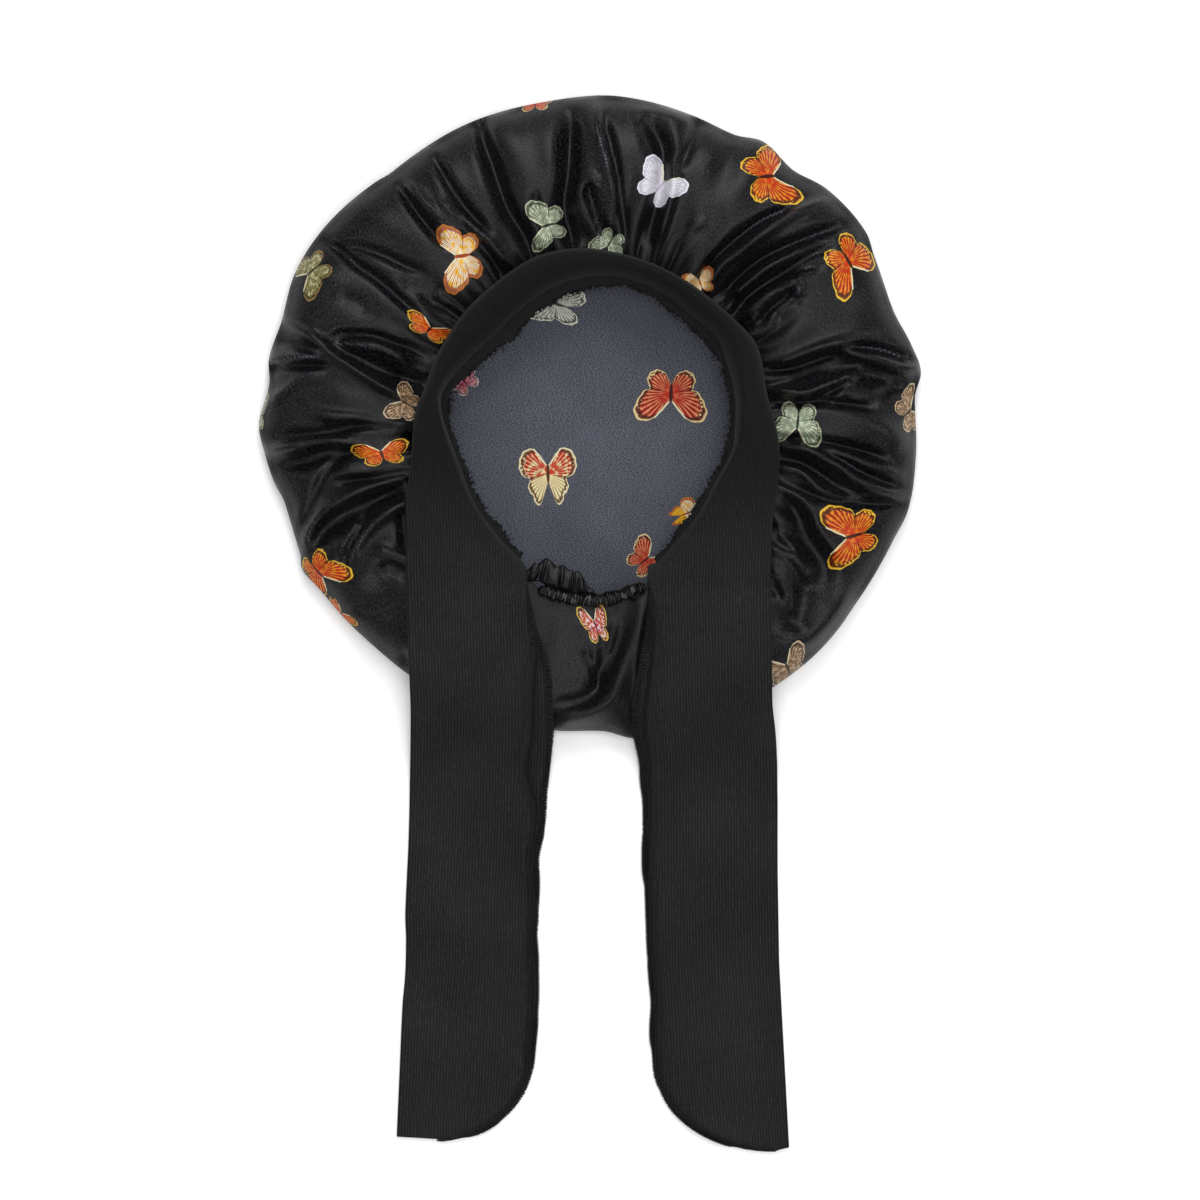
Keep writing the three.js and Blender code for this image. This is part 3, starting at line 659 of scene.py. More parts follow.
def add_node(tree, kind, links=(), output=0, curve=(), **settings):
    """Adds a node with its settings, and gives one of its outputs or a slice of them. links has
    a value or another node's output for each of its sockets, in their order or by name."""
    made = tree.nodes.new("ShaderNode" + kind)
    for name, value in settings.items():
        setattr(made, name, value)
    for socket, value in links.items() if isinstance(links, dict) else enumerate(links):
        if isinstance(value, bpy.types.NodeSocket):
            tree.links.new(value, made.inputs[socket])
        else:
            made.inputs[socket].default_value = value
    if curve:
        points = made.mapping.curves[0].points
        while len(points) < len(curve):
            points.new(0.5, 0.5)
        for point, place in zip(points, curve):
            point.location = place
        made.mapping.update()
    return made.outputs[output] if made.outputs else made


def new_material(name):
    """A material without nodes, and the function that adds one to it."""
    material = bpy.data.materials.new(name)
    material.use_nodes = True
    material.node_tree.nodes.clear()
    return material, functools.partial(add_node, material.node_tree)


def layers(add, ground, over):
    """The ground colour with others laid over it in turn, each by the share that comes with it."""
    for share, top in over:
        links = {"Factor": share, "A": ground, "B": top}
        ground = add("Mix", links, data_type="RGBA", output="Result")
    return ground


def surface(add, shader):
    add("OutputMaterial", {"Surface": add("BsdfPrincipled", shader)})


# Outlines of a wing: distance from the body's middle at each direction, from straight back, 0,
# over straight out, 0.5, to straight ahead, 1.
ROUND_WINGS = [
    (0, 0.14), (0.06, 0.36), (0.13, 0.58), (0.2, 0.67), (0.28, 0.68), (0.35, 0.62), (0.4, 0.54),
    (0.435, 0.51), (0.47, 0.6), (0.54, 0.72), (0.61, 0.86), (0.68, 0.99), (0.725, 1), (0.77, 0.93),
    (0.82, 0.74), (0.87, 0.48), (0.92, 0.27), (0.96, 0.15), (1, 0.1),
]
TAILED_WINGS = [
    (0, 0.12), (0.07, 0.46), (0.12, 0.8), (0.16, 0.76), (0.22, 0.66), (0.3, 0.64), (0.37, 0.57),
    (0.42, 0.5), (0.47, 0.62), (0.55, 0.76), (0.64, 0.82), (0.72, 0.84), (0.79, 0.78), (0.86, 0.56),
    (0.93, 0.27), (1, 0.1),
]
# Markings of the wings. Each pair is where one starts and where it is full, as shares of the
# wing's reach in that direction; where two more numbers follow, they are its strength at each.
EDGING = (0.92, 0.96)
BORDER_IN, BORDER_OUT = (0.8, 0.84, 0.0, 0.9), (0.97, 0.94)
WING_END = (1.0, 0.985)
LIGHT_VEIN_START = (0.25, 0.5)
# The same for the veins, as shares of the pitch between two of them.
VEINS = 20.0  # pitches round one side
DARK_VEIN, LIGHT_VEIN = (0.17, 0.08, 0.0, 0.85), (0.38, 0.47, 0.0, 0.8)
# And with 1 as the distance from the body's middle to the tip of a wing.
DARK_VEIN_START = (0.1, 0.2)
MOTTLE_SCALE, MOTTLED = 7.0, (0.48, 0.6)
SPOT_SCALE, SPOT_SIZE = 11.0, (0.34, 0.26)
BODY_SCALE, BODY_SHIFT = (22.0, 4.2, 1.0), (0.0, -0.084, 0.0)  # make the long body a round of 1
BODY_END = (1.1, 0.9)
FEELER_OUT, FEELER_AHEAD, FEELER_START = 0.78, -0.62, 0.0992  # 0 along the line of a feeler
FEELER_WIDTH = (0.022, 0.012)
FEELER_FROM, FEELER_TO = (0.2, 0.22), (0.62, 0.6)
# Directions are counted as in the outlines.
WING_GAP, GAP_WIDTH = 0.43, (0.012, 0.006)  # between the hind wing and the fore wing
HIND_WING = (0.43, 0.4)
SCALLOPS, SCALLOP_DEPTH = 80.0, 0.009  # radians of waves from tail to head, and their depth
PRINT_COLOURS = ("print_main", "print_second", "print_edge", "print_vein")


def printed(add, ground):
    """The ground colour with the butterfly of the print UV map over it, as a transfer print lies
    on satin, flat and with the cloth's own shine. That map is 1 at the tip of a wing, with its
    second axis towards the head, and the colours are the faces' own."""
    place = add("UVMap", uv_map="print")
    x, y = add("SeparateXYZ", [place], output=slice(2))
    x = add("Math", [x], operation="ABSOLUTE")
    away = add("VectorMath", [place], operation="LENGTH", output="Value")
    way = add("Math", [y, x], operation="ARCTAN2")
    way = add("MapRange", [way, -math.pi / 2, math.pi / 2])
    main, second, edge, dark = (
        add("Attribute", attribute_name=name, output="Color") for name in PRINT_COLOURS
    )
    tailed = add("Attribute", attribute_name="print_tailed", output="Fac")
    outlines = [
        add("FloatCurve", {"Value": way}, curve=rows) for rows in (ROUND_WINGS, TAILED_WINGS)
    ]
    outline = add("Mix", {"Factor": tailed, "A": outlines[0], "B": outlines[1]}, data_type="FLOAT")
    scallop = add("Math", [way, SCALLOPS], operation="MULTIPLY")
    scallop = add("Math", [scallop], operation="SINE")
    outline = add("Math", [scallop, SCALLOP_DEPTH, outline], operation="MULTIPLY_ADD")
    part = add("Math", [away, outline], operation="DIVIDE")

    mottle = add("TexNoise", {"Vector": place, "Scale": MOTTLE_SCALE, "Detail": 4.0})
    mottle = add("MapRange", [mottle, *MOTTLED])
    hind = add("Math", [tailed, add("MapRange", [way, *HIND_WING])], operation="MULTIPLY")
    second_share = add("Math", [mottle, hind], operation="MAXIMUM")
    vein = add("Math", [way, VEINS], operation="MULTIPLY")
    vein = add("Math", [vein, 0.5], operation="PINGPONG")
    dark_vein = add("MapRange", [vein, *DARK_VEIN])
    dark_start = add("MapRange", [away, *DARK_VEIN_START])
    light_vein = add("MapRange", [vein, *LIGHT_VEIN])
    light_start = add("MapRange", [part, *LIGHT_VEIN_START])
    border = add("MapRange", [part, *BORDER_IN])
    border_end = add("MapRange", [part, *BORDER_OUT])
    spots = add("TexVoronoi", {"Vector": place, "Scale": SPOT_SCALE, "Randomness": 0.6})
    spots = add("MapRange", [spots, *SPOT_SIZE])
    gap = add("Math", [way, WING_GAP], operation="SUBTRACT")
    gap = add("Math", [gap], operation="ABSOLUTE")
    wing = layers(add, main, [
        (second_share, second),
        (add("Math", [dark_vein, dark_start], operation="MULTIPLY"), dark),
        (add("Math", [light_vein, light_start], operation="MULTIPLY"), edge),
        (add("Math", [border, border_end], operation="MULTIPLY"), layers(add, dark, [(spots, edge)])),
        (add("MapRange", [part, *EDGING]), edge),
        (add("MapRange", [gap, *GAP_WIDTH]), dark),
    ])

    body = add("VectorMath", [place, BODY_SCALE, BODY_SHIFT], operation="MULTIPLY_ADD")
    body = add("VectorMath", [body, body], operation="DOT_PRODUCT", output="Value")
    feeler = add("Math", [y, FEELER_AHEAD, FEELER_START], operation="MULTIPLY_ADD")
    feeler = add("Math", [x, FEELER_OUT, feeler], operation="MULTIPLY_ADD")
    feeler = add("Math", [feeler], operation="ABSOLUTE")
    feeler = add("MapRange", [feeler, *FEELER_WIDTH])
    for ends in (FEELER_FROM, FEELER_TO):
        feeler = add("Math", [feeler, add("MapRange", [y, *ends])], operation="MULTIPLY")
    return layers(add, ground, [
        (add("MapRange", [part, *WING_END]), wing),
        (add("MapRange", [body, *BODY_END]), dark),
        (feeler, colour("#c9c6a8")),
    ])


CRUMPLE = 6.25  # width of the satin's slight crumples
CLOUD = 28.57  # width of its lighter and darker patches
GRAIN_SHAPE = (1.0, 2.2, 1.0)  # the grain is this much longer one way than the other
GRAIN_SOFTNESS = 0.2  # of the noise, from a dark thread to a light one
GRAIN_LEVELS = (-0.15, 0.85)  # shares of the light colour without a thread's painted gleam and with it
CLOUD_SHARE = 0.3  # of the light colour, that such a patch adds at most


def satin(name, dark, light, roughness, sheen_level, grain, relief, grain_from):
    """Polyester satin, woven: long floating threads give the face a broad gloss that breaks up
    into fine grain, and the reverse is duller and greyer. dark and light are the colours between
    which its threads vary in the base colour, the light ones partly the threads' own tone and partly
    painted sheen, the gleam of single threads; the higher grain_from, the fewer are light. The real
    threads are about 0.1 mm wide; grain is the width that they are drawn at so that they show."""
    material, add = new_material(name)
    cloth = add("UVMap", uv_map="cloth")
    crosswise = add("Mapping", {"Vector": cloth, "Scale": GRAIN_SHAPE})
    shape = {"Vector": crosswise, "Scale": 1 / grain, "Detail": 3.0, "Roughness": 0.65}
    threads_seen = add("TexNoise", shape)
    cloud = add("TexNoise", {"Vector": cloth, "Scale": 1 / CLOUD})
    shape = {"Vector": cloth, "Scale": 1 / CRUMPLE, "Detail": 3.0, "Roughness": 0.6}
    crumple = add("TexNoise", shape)
    # painted sheen: the light threads stand for the gleam of single threads
    level = add("MapRange", [threads_seen, grain_from, grain_from + GRAIN_SOFTNESS, *GRAIN_LEVELS])
    level = add("Math", [cloud, CLOUD_SHARE, level], operation="MULTIPLY_ADD")
    crumpled = add("Bump", {"Height": crumple, "Strength": 0.18, "Distance": 0.6 * MM})
    relief_links = {"Height": threads_seen, "Strength": relief, "Distance": 0.5 * MM}
    surface(add, {
        "Base Color": printed(add, layers(add, colour(dark), [(level, colour(light))])),
        "Roughness": roughness,
        "Specular IOR Level": sheen_level,
        "Normal": add("Bump", {**relief_links, "Normal": crumpled}),
    })
    return material


WALE = 1.65  # width of one rib of the knit, somewhat coarser than real, to show
COURSE = 1.15  # length of one stitch of it
FLUFF = 1.111  # width of a tuft of fluff on knit and thread
STREAK = 1.25  # width of the lighter and darker rows of stitches
KNIT_CLOUD = 50.0  # width of its lighter and darker patches
RING_FADE = 40.0  # over which the ribs flatten, and the painted shade comes in, towards the stretched part
RAW_EDGE = (1.8, 4.2, 0.2, 1.0)  # from a raw edge, and the shares of the light colour kept there: darker for the black overlock thread and as painted shadow of the gap between the layers
RIB_FLANK = (0.06, 0.4)  # from a groove's middle to a rib's top, in ribs
STITCH_SLANT = 1.1  # courses that a stitch leans over, for each rib across
STITCH_HEIGHT, FLUFF_HEIGHT = 0.45, 0.5  # to a rib's
RING_FLATTER, RING_PAINTED_SHADE = -0.8, -0.75  # what the stretched part takes off height, and what painted shade takes off its light
TUFTS = (0.35, 0.7)  # of the noise, from bare cloth to a full tuft
STREAKS = (0.38, 0.62, 0.45, 1.55)  # the same for a streak, and the light it lets through
STREAK_SHAPE = (0.3, 1.0, 1.0)  # long in the strip's direction
# scales the painted highlight on rib and stitch tops, with the lighter fluff and streaks
PAINTED_RIB_LIGHT_AND_FLUFF = 1.1


def rib_knit(ring_start, ring_end):
    """Fine rib knit of black yarn, matt: rows of small stitches run along the strip, with a little
    fluff over all. Its base colour has painted highlights on the tops of the ribs and stitches and
    painted shade in the grooves between them. The ribs flatten where the strip is stretched round
    the opening, and painted shade darkens it there. Along the raw edges black overlock thread hides
    the ribs, and the knit is darker there, partly for that thread and partly as painted shadow of
    the gap between the layers."""
    material, add = new_material("black_rib_knit")
    cloth = add("UVMap", uv_map="knit")
    along, across = add("SeparateXYZ", [cloth], output=slice(2))
    rib = add("Math", [across, WALE], operation="DIVIDE")
    rib = add("Math", [rib, 0.5], operation="PINGPONG")
    ridge = add("MapRange", [rib, *RIB_FLANK])
    course = add("Math", [along, COURSE], operation="DIVIDE")
    slant = add("Math", [rib, STITCH_SLANT, course], operation="MULTIPLY_ADD")
    stitch = add("Math", [slant, 2 * math.pi], operation="MULTIPLY")
    stitch = add("Math", [stitch], operation="SINE")
    stitch = add("Math", [stitch, 0.5, 0.5], operation="MULTIPLY_ADD")
    fluff = add("TexNoise", {"Vector": cloth, "Scale": 1 / FLUFF, "Detail": 3.0, "Roughness": 0.7})
    rows = add("Mapping", {"Vector": cloth, "Scale": STREAK_SHAPE})
    streak = add("TexNoise", {"Vector": rows, "Scale": 1 / STREAK, "Detail": 3.0, "Roughness": 0.7})
    cloud = add("TexNoise", {"Vector": cloth, "Scale": 1 / KNIT_CLOUD})
    ring_in = add("MapRange", [along, ring_start - RING_FADE, ring_start + RING_FADE])
    ring_out = add("MapRange", [along, ring_end + RING_FADE, ring_end - RING_FADE])
    ring = add("Math", [ring_in, ring_out], operation="MULTIPLY")
    from_raw = add("Attribute", attribute_name="raw_edge", output="Fac")

    height = add("Math", [stitch, STITCH_HEIGHT, ridge], operation="MULTIPLY_ADD")
    height = add("Math", [fluff, FLUFF_HEIGHT, height], operation="MULTIPLY_ADD")
    flattened = add("Math", [ring, RING_FLATTER, 1.0], operation="MULTIPLY_ADD")
    height = add("Math", [height, flattened], operation="MULTIPLY")

    # painted highlight on rib and stitch tops and painted shade in the grooves between them
    level = add("Math", [ridge, stitch], operation="MULTIPLY")
    for share in (add("MapRange", [fluff, *TUFTS]), add("MapRange", [streak, *STREAKS])):
        level = add("Math", [level, share], operation="MULTIPLY")
    level = add("Math", [level, PAINTED_RIB_LIGHT_AND_FLUFF], operation="MULTIPLY")
    level = add("Math", [cloud, CLOUD_SHARE, level], operation="MULTIPLY_ADD")
    for share in (
        # painted shade on the band's stretched part round the opening
        add("Math", [ring, RING_PAINTED_SHADE, 1.0], operation="MULTIPLY_ADD"),
        # along the raw edges: black overlock thread and painted shadow of the gap between the layers
        add("MapRange", [from_raw, *RAW_EDGE]),
    ):
        level = add("Math", [level, share], operation="MULTIPLY")
    surface(add, {
        "Base Color": layers(add, colour("#030404"), [(level, colour("#383b39"))]),
        "Roughness": 0.85,
        "Specular IOR Level": 0.12,
        "Sheen Weight": 0.04,
        "Sheen Roughness": 0.5,
        "Normal": add("Bump", {"Height": height, "Strength": 0.7, "Distance": 0.5 * MM}),
    })
    return material


def thread_cloth(name, dark, light, level=0.2, roughness=0.8):
    """Black polyester thread, raw knit edges and tightly ruched satin: uneven and a little fluffy,
    and matt unless level and roughness say otherwise."""
    material, add = new_material(name)
    place = add("TexCoord", output="Object")
    shape = {"Vector": place, "Scale": 1 / (FLUFF * MM), "Detail": 3.0, "Roughness": 0.7}
    fluff = add("TexNoise", shape)
    light_share = add("MapRange", [fluff, *TUFTS])
    surface(add, {
        "Base Color": layers(add, colour(dark), [(light_share, colour(light))]),
        "Roughness": roughness,
        "Specular IOR Level": level,
        "Normal": add("Bump", {"Height": fluff, "Strength": 0.5, "Distance": 0.4 * MM}),
    })
    return material


# Pieces


def own(piece, node_name):
    """The piece stands for a node of the solids and moves with the one body."""
    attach(piece, "root")
    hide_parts(node_name)


# Wing, second wing colour, edge and veins.
PALETTES = {
    "orange": ("#b52f0c", "#c8701c", "#cfa52c", "#3a1408"),
    "coral": ("#a8281a", "#bd5a3c", "#cdb583", "#3a1410"),
    "cream": ("#b8301e", "#cdbf90", "#cbbf9a", "#4a2a18"),
    "white": ("#c9c7cf", "#b5b1bd", "#cfccd6", "#a6a2ac"),
    "sun": ("#d6ccb0", "#dba81a", "#a8641f", "#8a3a1c"),
    "olive": ("#6f6b42", "#b0ae84", "#7e6034", "#33301c"),
    "sage": ("#8a957f", "#bcc4ac", "#9fa588", "#2c3328"),
    "ash": ("#b6b8ac", "#8d9288", "#cfcec0", "#3a3c34"),
    "tan": ("#6e5238", "#b89c7a", "#b8a284", "#33241a"),
    "rose": ("#8e1e2c", "#c78aa0", "#cdbcae", "#3c1018"),
    "ruby": ("#a81c28", "#d4c6c8", "#cfb04a", "#3c1018"),
}
# Butterflies of the print. x and y are pixels of the photograph; span is the width over both
# wings in millimetres; turn is the head's direction, round from the brow. Where one doesn't show
# whole, left and right are how wide each wing shows and long how long the body does, and tailed
# chooses between the two outlines.
OUTSIDE_PRINTS = [
    ("white", 660, 190, 37, -38, 1.0, 0.8, 1.0, 0),
    ("orange", 766, 179, 47, -72),
    ("orange", 846, 262, 45, -132, 1.0, 0.9, 1.0, 0),
    ("orange", 852, 537, 48, 105, 0.85, 1.0, 1.0, 0),
    ("orange", 321, 572, 42, -150, 1.0, 0.8, 0.9, 0),
    ("orange", 384, 457, 38, 8, 1.0, 1.0, 0.55, 0),
    ("orange", 431, 334, 34, -28, 1.0, 1.0, 0.5, 0),
    ("sun", 464, 258, 46, 98, 1.0, 0.9, 0.78, 0),
    ("olive", 315, 272, 36, 125, 0.9, 1.0, 1.0, 0),
    ("sage", 549, 230, 36, 100, 0.8, 1.0, 0.9, 0),
    ("sage", 797, 423, 34, 172, 1.0, 1.0, 1.1, 0),
    ("sage", 263, 417, 32, 20, 1.0, 0.7, 1.0, 0),
    ("tan", 407, 405, 30, 60, 1.0, 0.8, 0.9, 0),
    ("tan", 907, 414, 34, -60, 1.0, 1.0, 0.9, 0),
    ("tan", 787, 668, 40, 30, 1.0, 0.8, 1.0, 0),
    ("coral", 536, 102, 26, 0),
    ("sun", 700, 285, 22, 20),
    ("sage", 611, 244, 24, 150),
    ("ruby", 596, 627, 30, 14, 0.65, 0.6, 1.5, 0),
    ("orange", 336, 617, 26, -50, 1.0, 1.0, 0.7, 0),
]
INSIDE_PRINTS = [
    ("coral", 671, 393, 48, 178, 1.0, 1.0, 0.95, 0),
    ("cream", 548, 474, 42, 2, 1.0, 1.0, 1.1, 1),
    ("ash", 556, 304, 44, 68, 0.7, 1.0, 1.2, 0),
    ("rose", 464, 381, 24, 40),
    ("sun", 686, 516, 26, -70, 1.0, 0.7, 0.9, 1),
    ("coral", 645, 561, 30, -50, 1.0, 0.8, 1.0, 0),
    ("rose", 480, 200, 36, 60),
    ("orange", 380, 480, 40, 200),
    ("white", 770, 560, 36, 130, 1.0, 1.0, 1.0, 1),
    ("olive", 760, 270, 38, 300),
]
UNDER_PRINTS = [
    ("orange", 520, 300, 44, 30),
    ("sage", 690, 290, 38, 140),
    ("sun", 420, 420, 42, 250),
    ("white", 600, 500, 36, 80, 1.0, 1.0, 1.0, 1),
    ("orange", 760, 470, 42, 320),
    ("tan", 500, 570, 40, 190),
    ("rose", 660, 600, 38, 20, 1.0, 1.0, 1.0, 1),
    ("olive", 350, 300, 38, 110),
    ("cream", 830, 330, 40, 210, 1.0, 1.0, 1.0, 1),
]
SHOWN_WHOLE = (1.0, 1.0, 1.0, 0)  # left, right, long and tailed of a row that ends at turn
PRINT_REACH = 1.8  # how far a butterfly's own faces go, in half spans
OFF_PRINT = 9.0  # a place on the print map that is clear of the butterfly


def from_middle(flat, row, reach, middle, on_top):
    """How far each point lies across from a butterfly's middle and ahead of it. On the top it is
    measured over the cloth, so that the gathers don't squeeze the print."""
    across, ahead = (flat[:, :2] - middle).T
    if not on_top:
        return across, ahead
    top = row > BASE_ROWS + RIM_ROWS // 2
    k = np.argmin(np.where(top, np.hypot(across, ahead), np.inf))
    angle = angle_of(flat[:, 0], flat[:, 1])
    out = reach[row[k]] - reach[row]
    sideways = np.radians(turn_between(angle, angle[k])) * np.hypot(flat[:, 0], flat[:, 1])
    way = math.radians(angle[k])
    across = out * math.cos(way) - sideways * math.sin(way)
    ahead = out * math.sin(way) + sideways * math.cos(way)
    return across, ahead


def lay_prints(piece, points, reach):
    """Gives each face of the crown its place on the nearest butterfly, and that one's colours."""
    rows, columns = points.shape[:2]
    squares = grid_faces(rows, columns, True)
    flat = points.reshape(-1, 3)
    row = np.arange(rows).repeat(columns)
    corners = len(piece.data.loops)
    uv = np.full((corners, 2), OFF_PRINT)
    colours = {name: np.zeros((corners, 4)) for name in PRINT_COLOURS}
    tails = np.zeros(corners)
    for side, prints in [("top", OUTSIDE_PRINTS), ("under", UNDER_PRINTS), ("inside", INSIDE_PRINTS)]:
        on_top, inside = side == "top", side == "inside"
        order = squares[:, ::-1] if inside else squares
        first = squares.size if inside else 0
        allowed = ((row > BASE_ROWS) == on_top)[squares].all(axis=1)
        nearest = np.full(len(squares), PRINT_REACH)
        for palette, x, y, span, turn, *shown in prints:
            left, right, long, tailed = shown or SHOWN_WHOLE
            across, ahead = from_middle(flat, row, reach, from_photo(x, y), on_top)
            way, half = math.radians(turn), span / 2
            u = (across * math.cos(way) + ahead * math.sin(way)) / half
            v = (ahead * math.cos(way) - across * math.sin(way)) / half / long
            local = np.stack([np.where(u < 0, u / left, u / right), v], axis=-1)
            far = np.linalg.norm(local, axis=1)[order].max(axis=1)
            chosen = np.flatnonzero((far < nearest) & allowed)
            nearest[chosen] = far[chosen]
            loops = (first + chosen[:, None] * 4 + np.arange(4)).ravel()
            uv[loops] = local[order[chosen]].reshape(-1, 2)
            tails[loops] = tailed
            for name, code in zip(colours, PALETTES[palette]):
                colours[name][loops] = colour(code)
    layer = piece.data.uv_layers.new(name="print")
    layer.data.foreach_set("uv", uv.astype(np.float32).ravel())
    for name, values in colours.items():
        set_attribute(piece, name, "FLOAT_COLOR", "CORNER", values)
    set_attribute(piece, "print_tailed", "FLOAT", "CORNER", tails)


def make_crown():
    points, reach = crown_points()
    piece = cloth_shell("crown_satin", points, SATIN_LIFT, ring=True, middle=True)
    rows, columns = points.shape[:2]
    turn = np.arange(columns) * 2 * np.pi / columns
    flat = reach[:, None, None] * np.stack([np.cos(turn), np.sin(turn)], axis=-1)
    set_uv(piece, "cloth", np.tile(flat.reshape(-1, 2), (2, 1)))
    lay_prints(piece, points, reach)
    piece.data.materials.append(satin(
        "printed_satin_face", dark="#010101", light="#2d2d32", roughness=0.33, sheen_level=0.18,
        grain=1.818, relief=0.42, grain_from=0.48,
    ))
    piece.data.materials.append(satin(
        "printed_satin_reverse", dark="#24262d", light="#62646f", roughness=0.6, sheen_level=0.12,
        grain=0.8696, relief=0.25, grain_from=0.42,
    ))
    squares = (rows - 1) * columns
    is_reverse = np.zeros(len(piece.data.polygons), int)
    is_reverse[squares:2 * squares] = 1
    is_reverse[-1] = 1
    piece.data.polygons.foreach_set("material_index", is_reverse)
    own(piece, "crown")
    return piece


# The strip of knit: the left tie, the band round the opening and the right tie

STATION_STEP = 2.9
LAYER_STEPS = 30
LAYER_WALL = 0.8
LAYER_OFFSET = 0.5  # of a layer's middle from the middle of the folded strip
FOLD_STEPS = 5
CORNER_STEPS = 14
TIE_SEWN = (-122, -84)  # y over which a tie's inner edge rises to the seam
TIE_CREST = 0.3
TIE_FREE = (250, 330)  # distances from a tie's end over which its free, wavy part ends
EDGE_WAVE, BROAD_WAVE = 1.1, 0.5
PRESSED_WAVE = 0.4  # a tie's waves never go further down than this
WAVY_PART = 0.3  # share of the width, next to the inner edge, that the small waves reach
LIP_HEIGHT = 2.9  # the front layer's raw edge curls up this far
LIP_REACH = 0.04  # share of the width that the curl takes up
GROOVE_DEPTH, GROOVE_PLACE, GROOVE_REACH = 0.42, 0.1, 0.05  # of the groove behind it
LIP_FROM = (0.3, 3)  # setbacks of the raw edge over which the lip appears
RIBS_FLATTEN = -60  # y past which the band is stretched round the opening


def tie_sections(side, rows, wide, long, outer, drop):
    """Sections of one tie, from the nape to the end of its rounded corner."""
    edges = list(zip(rows["inner"], rows["y"], rows["outer"], rows["y"], rows["recess"]))
    end_inner, end_y, end_outer = edges[-1][:3]
    for k in range(1, CORNER_STEPS + 1):
        share = k / CORNER_STEPS
        turn = share * math.pi / 2
        edges.append((
            end_inner + wide * (1 - math.cos(turn)), end_y - long * math.sin(turn),
            mix(end_outer, outer, share), end_y - drop * share, CORNER_RECESS,
        ))
    sections = []
    for inner, y, edge, edge_y, recess in edges:
        x, edge_x = side * inner, side * edge
        z = mix(lying_height(x, y), SEAM_HEIGHT + CLEARANCE, smoothstep(y, *TIE_SEWN))
        edge_z, crest_z = lying_height(edge_x, edge_y), lying_height((x + edge_x) / 2, y)
        sections.append((x, y, z, edge_x, edge_y, edge_z, TIE_CREST, crest_z, recess))
    return sections


def strip_sections():
    """Sections of the whole strip. Columns: seam x, y, z, edge x, y, z, crest, crest height and
    recess."""
    left, right = (tie_sections(**TIE_ENDS[side]) for side in ("left", "right"))
    band = [
        (x, y, SEAM_HEIGHT + CLEARANCE, edge_x, edge_y, lying_height(edge_x, edge_y), crest, top, 0)
        for x, y, edge_x, edge_y, crest, top in zip(*BAND.values())
    ]
    return np.array(left[::-1] + band + right, float)


def even_stations(rows):
    """Sections at even steps along the strip, and how far along each is."""
    places = np.linspace(0, len(rows) - 1, 40 * len(rows))
    fine = between(rows, places)
    length = length_along((fine[:, :3] + fine[:, 3:6]) / 2)
    along = np.linspace(0, length[-1], round(length[-1] / STATION_STEP))
    return between(rows, np.interp(along, length, places)), along


def section_points(sections, shares):
    """Points over each section, from its sewn edge, 0, over its crest, 0.5, to its fold, 1."""
    seam, edge = sections[:, None, :3], sections[:, None, 3:6]
    crest, height = sections[:, 6:7], sections[:, 7:8]
    rising = shares <= 0.5
    turn = np.where(rising, shares, shares - 0.5) * math.pi
    out = np.where(rising, crest * (1 - np.cos(turn)), crest + (1 - crest) * np.sin(turn))
    points = seam + (edge - seam) * out[..., None]
    rise = seam[..., 2] + (height - seam[..., 2]) * np.sin(turn)
    fall = edge[..., 2] + (height - edge[..., 2]) * np.cos(turn)
    points[..., 2] = np.where(rising, rise, fall)
    return points


def strip_surface():
    """The middle of the folded strip as a function of shares across it, with its stations."""
    sections, along = even_stations(strip_sections())
    from_end = np.minimum(along, along[-1] - along)
    free = 1 - smoothstep(from_end, *TIE_FREE)[:, None]
    wave = EDGE_WAVE * smooth_noise(along, along[-1], range(14, 40, 3), 3)[:, None]
    broad = BROAD_WAVE * smooth_noise(along, along[-1], range(5, 14, 2), 5)[:, None]

    def at(shares):
        shares = np.broadcast_to(shares, (len(sections), np.shape(shares)[-1]))
        points = section_points(sections, shares)
        inner = np.clip(1 - shares / WAVY_PART, 0, 1) ** 1.5
        lift = free * (wave * inner + broad * (1 - shares))
        points[..., 2] += np.maximum(lift, -PRESSED_WAVE) + PRESSED_WAVE * free
        return points

    return at, sections, along


def front_start(sections):
    """Share across the strip at which the front layer's raw edge lies."""
    width = np.hypot(sections[:, 3] - sections[:, 0], sections[:, 4] - sections[:, 1])
    part = np.clip(sections[:, 8] / width / sections[:, 6], 0, 1)
    return np.arccos(1 - part)[:, None] / math.pi


def raw_lip(behind, recess):
    """Height of the curled raw edge of the front layer and of the groove behind it."""
    curl = np.exp(-((behind / LIP_REACH) ** 2))
    groove = GROOVE_DEPTH * np.exp(-(((behind - GROOVE_PLACE) / GROOVE_REACH) ** 2))
    return LIP_HEIGHT * (curl - groove) * smoothstep(recess, *LIP_FROM)[:, None]


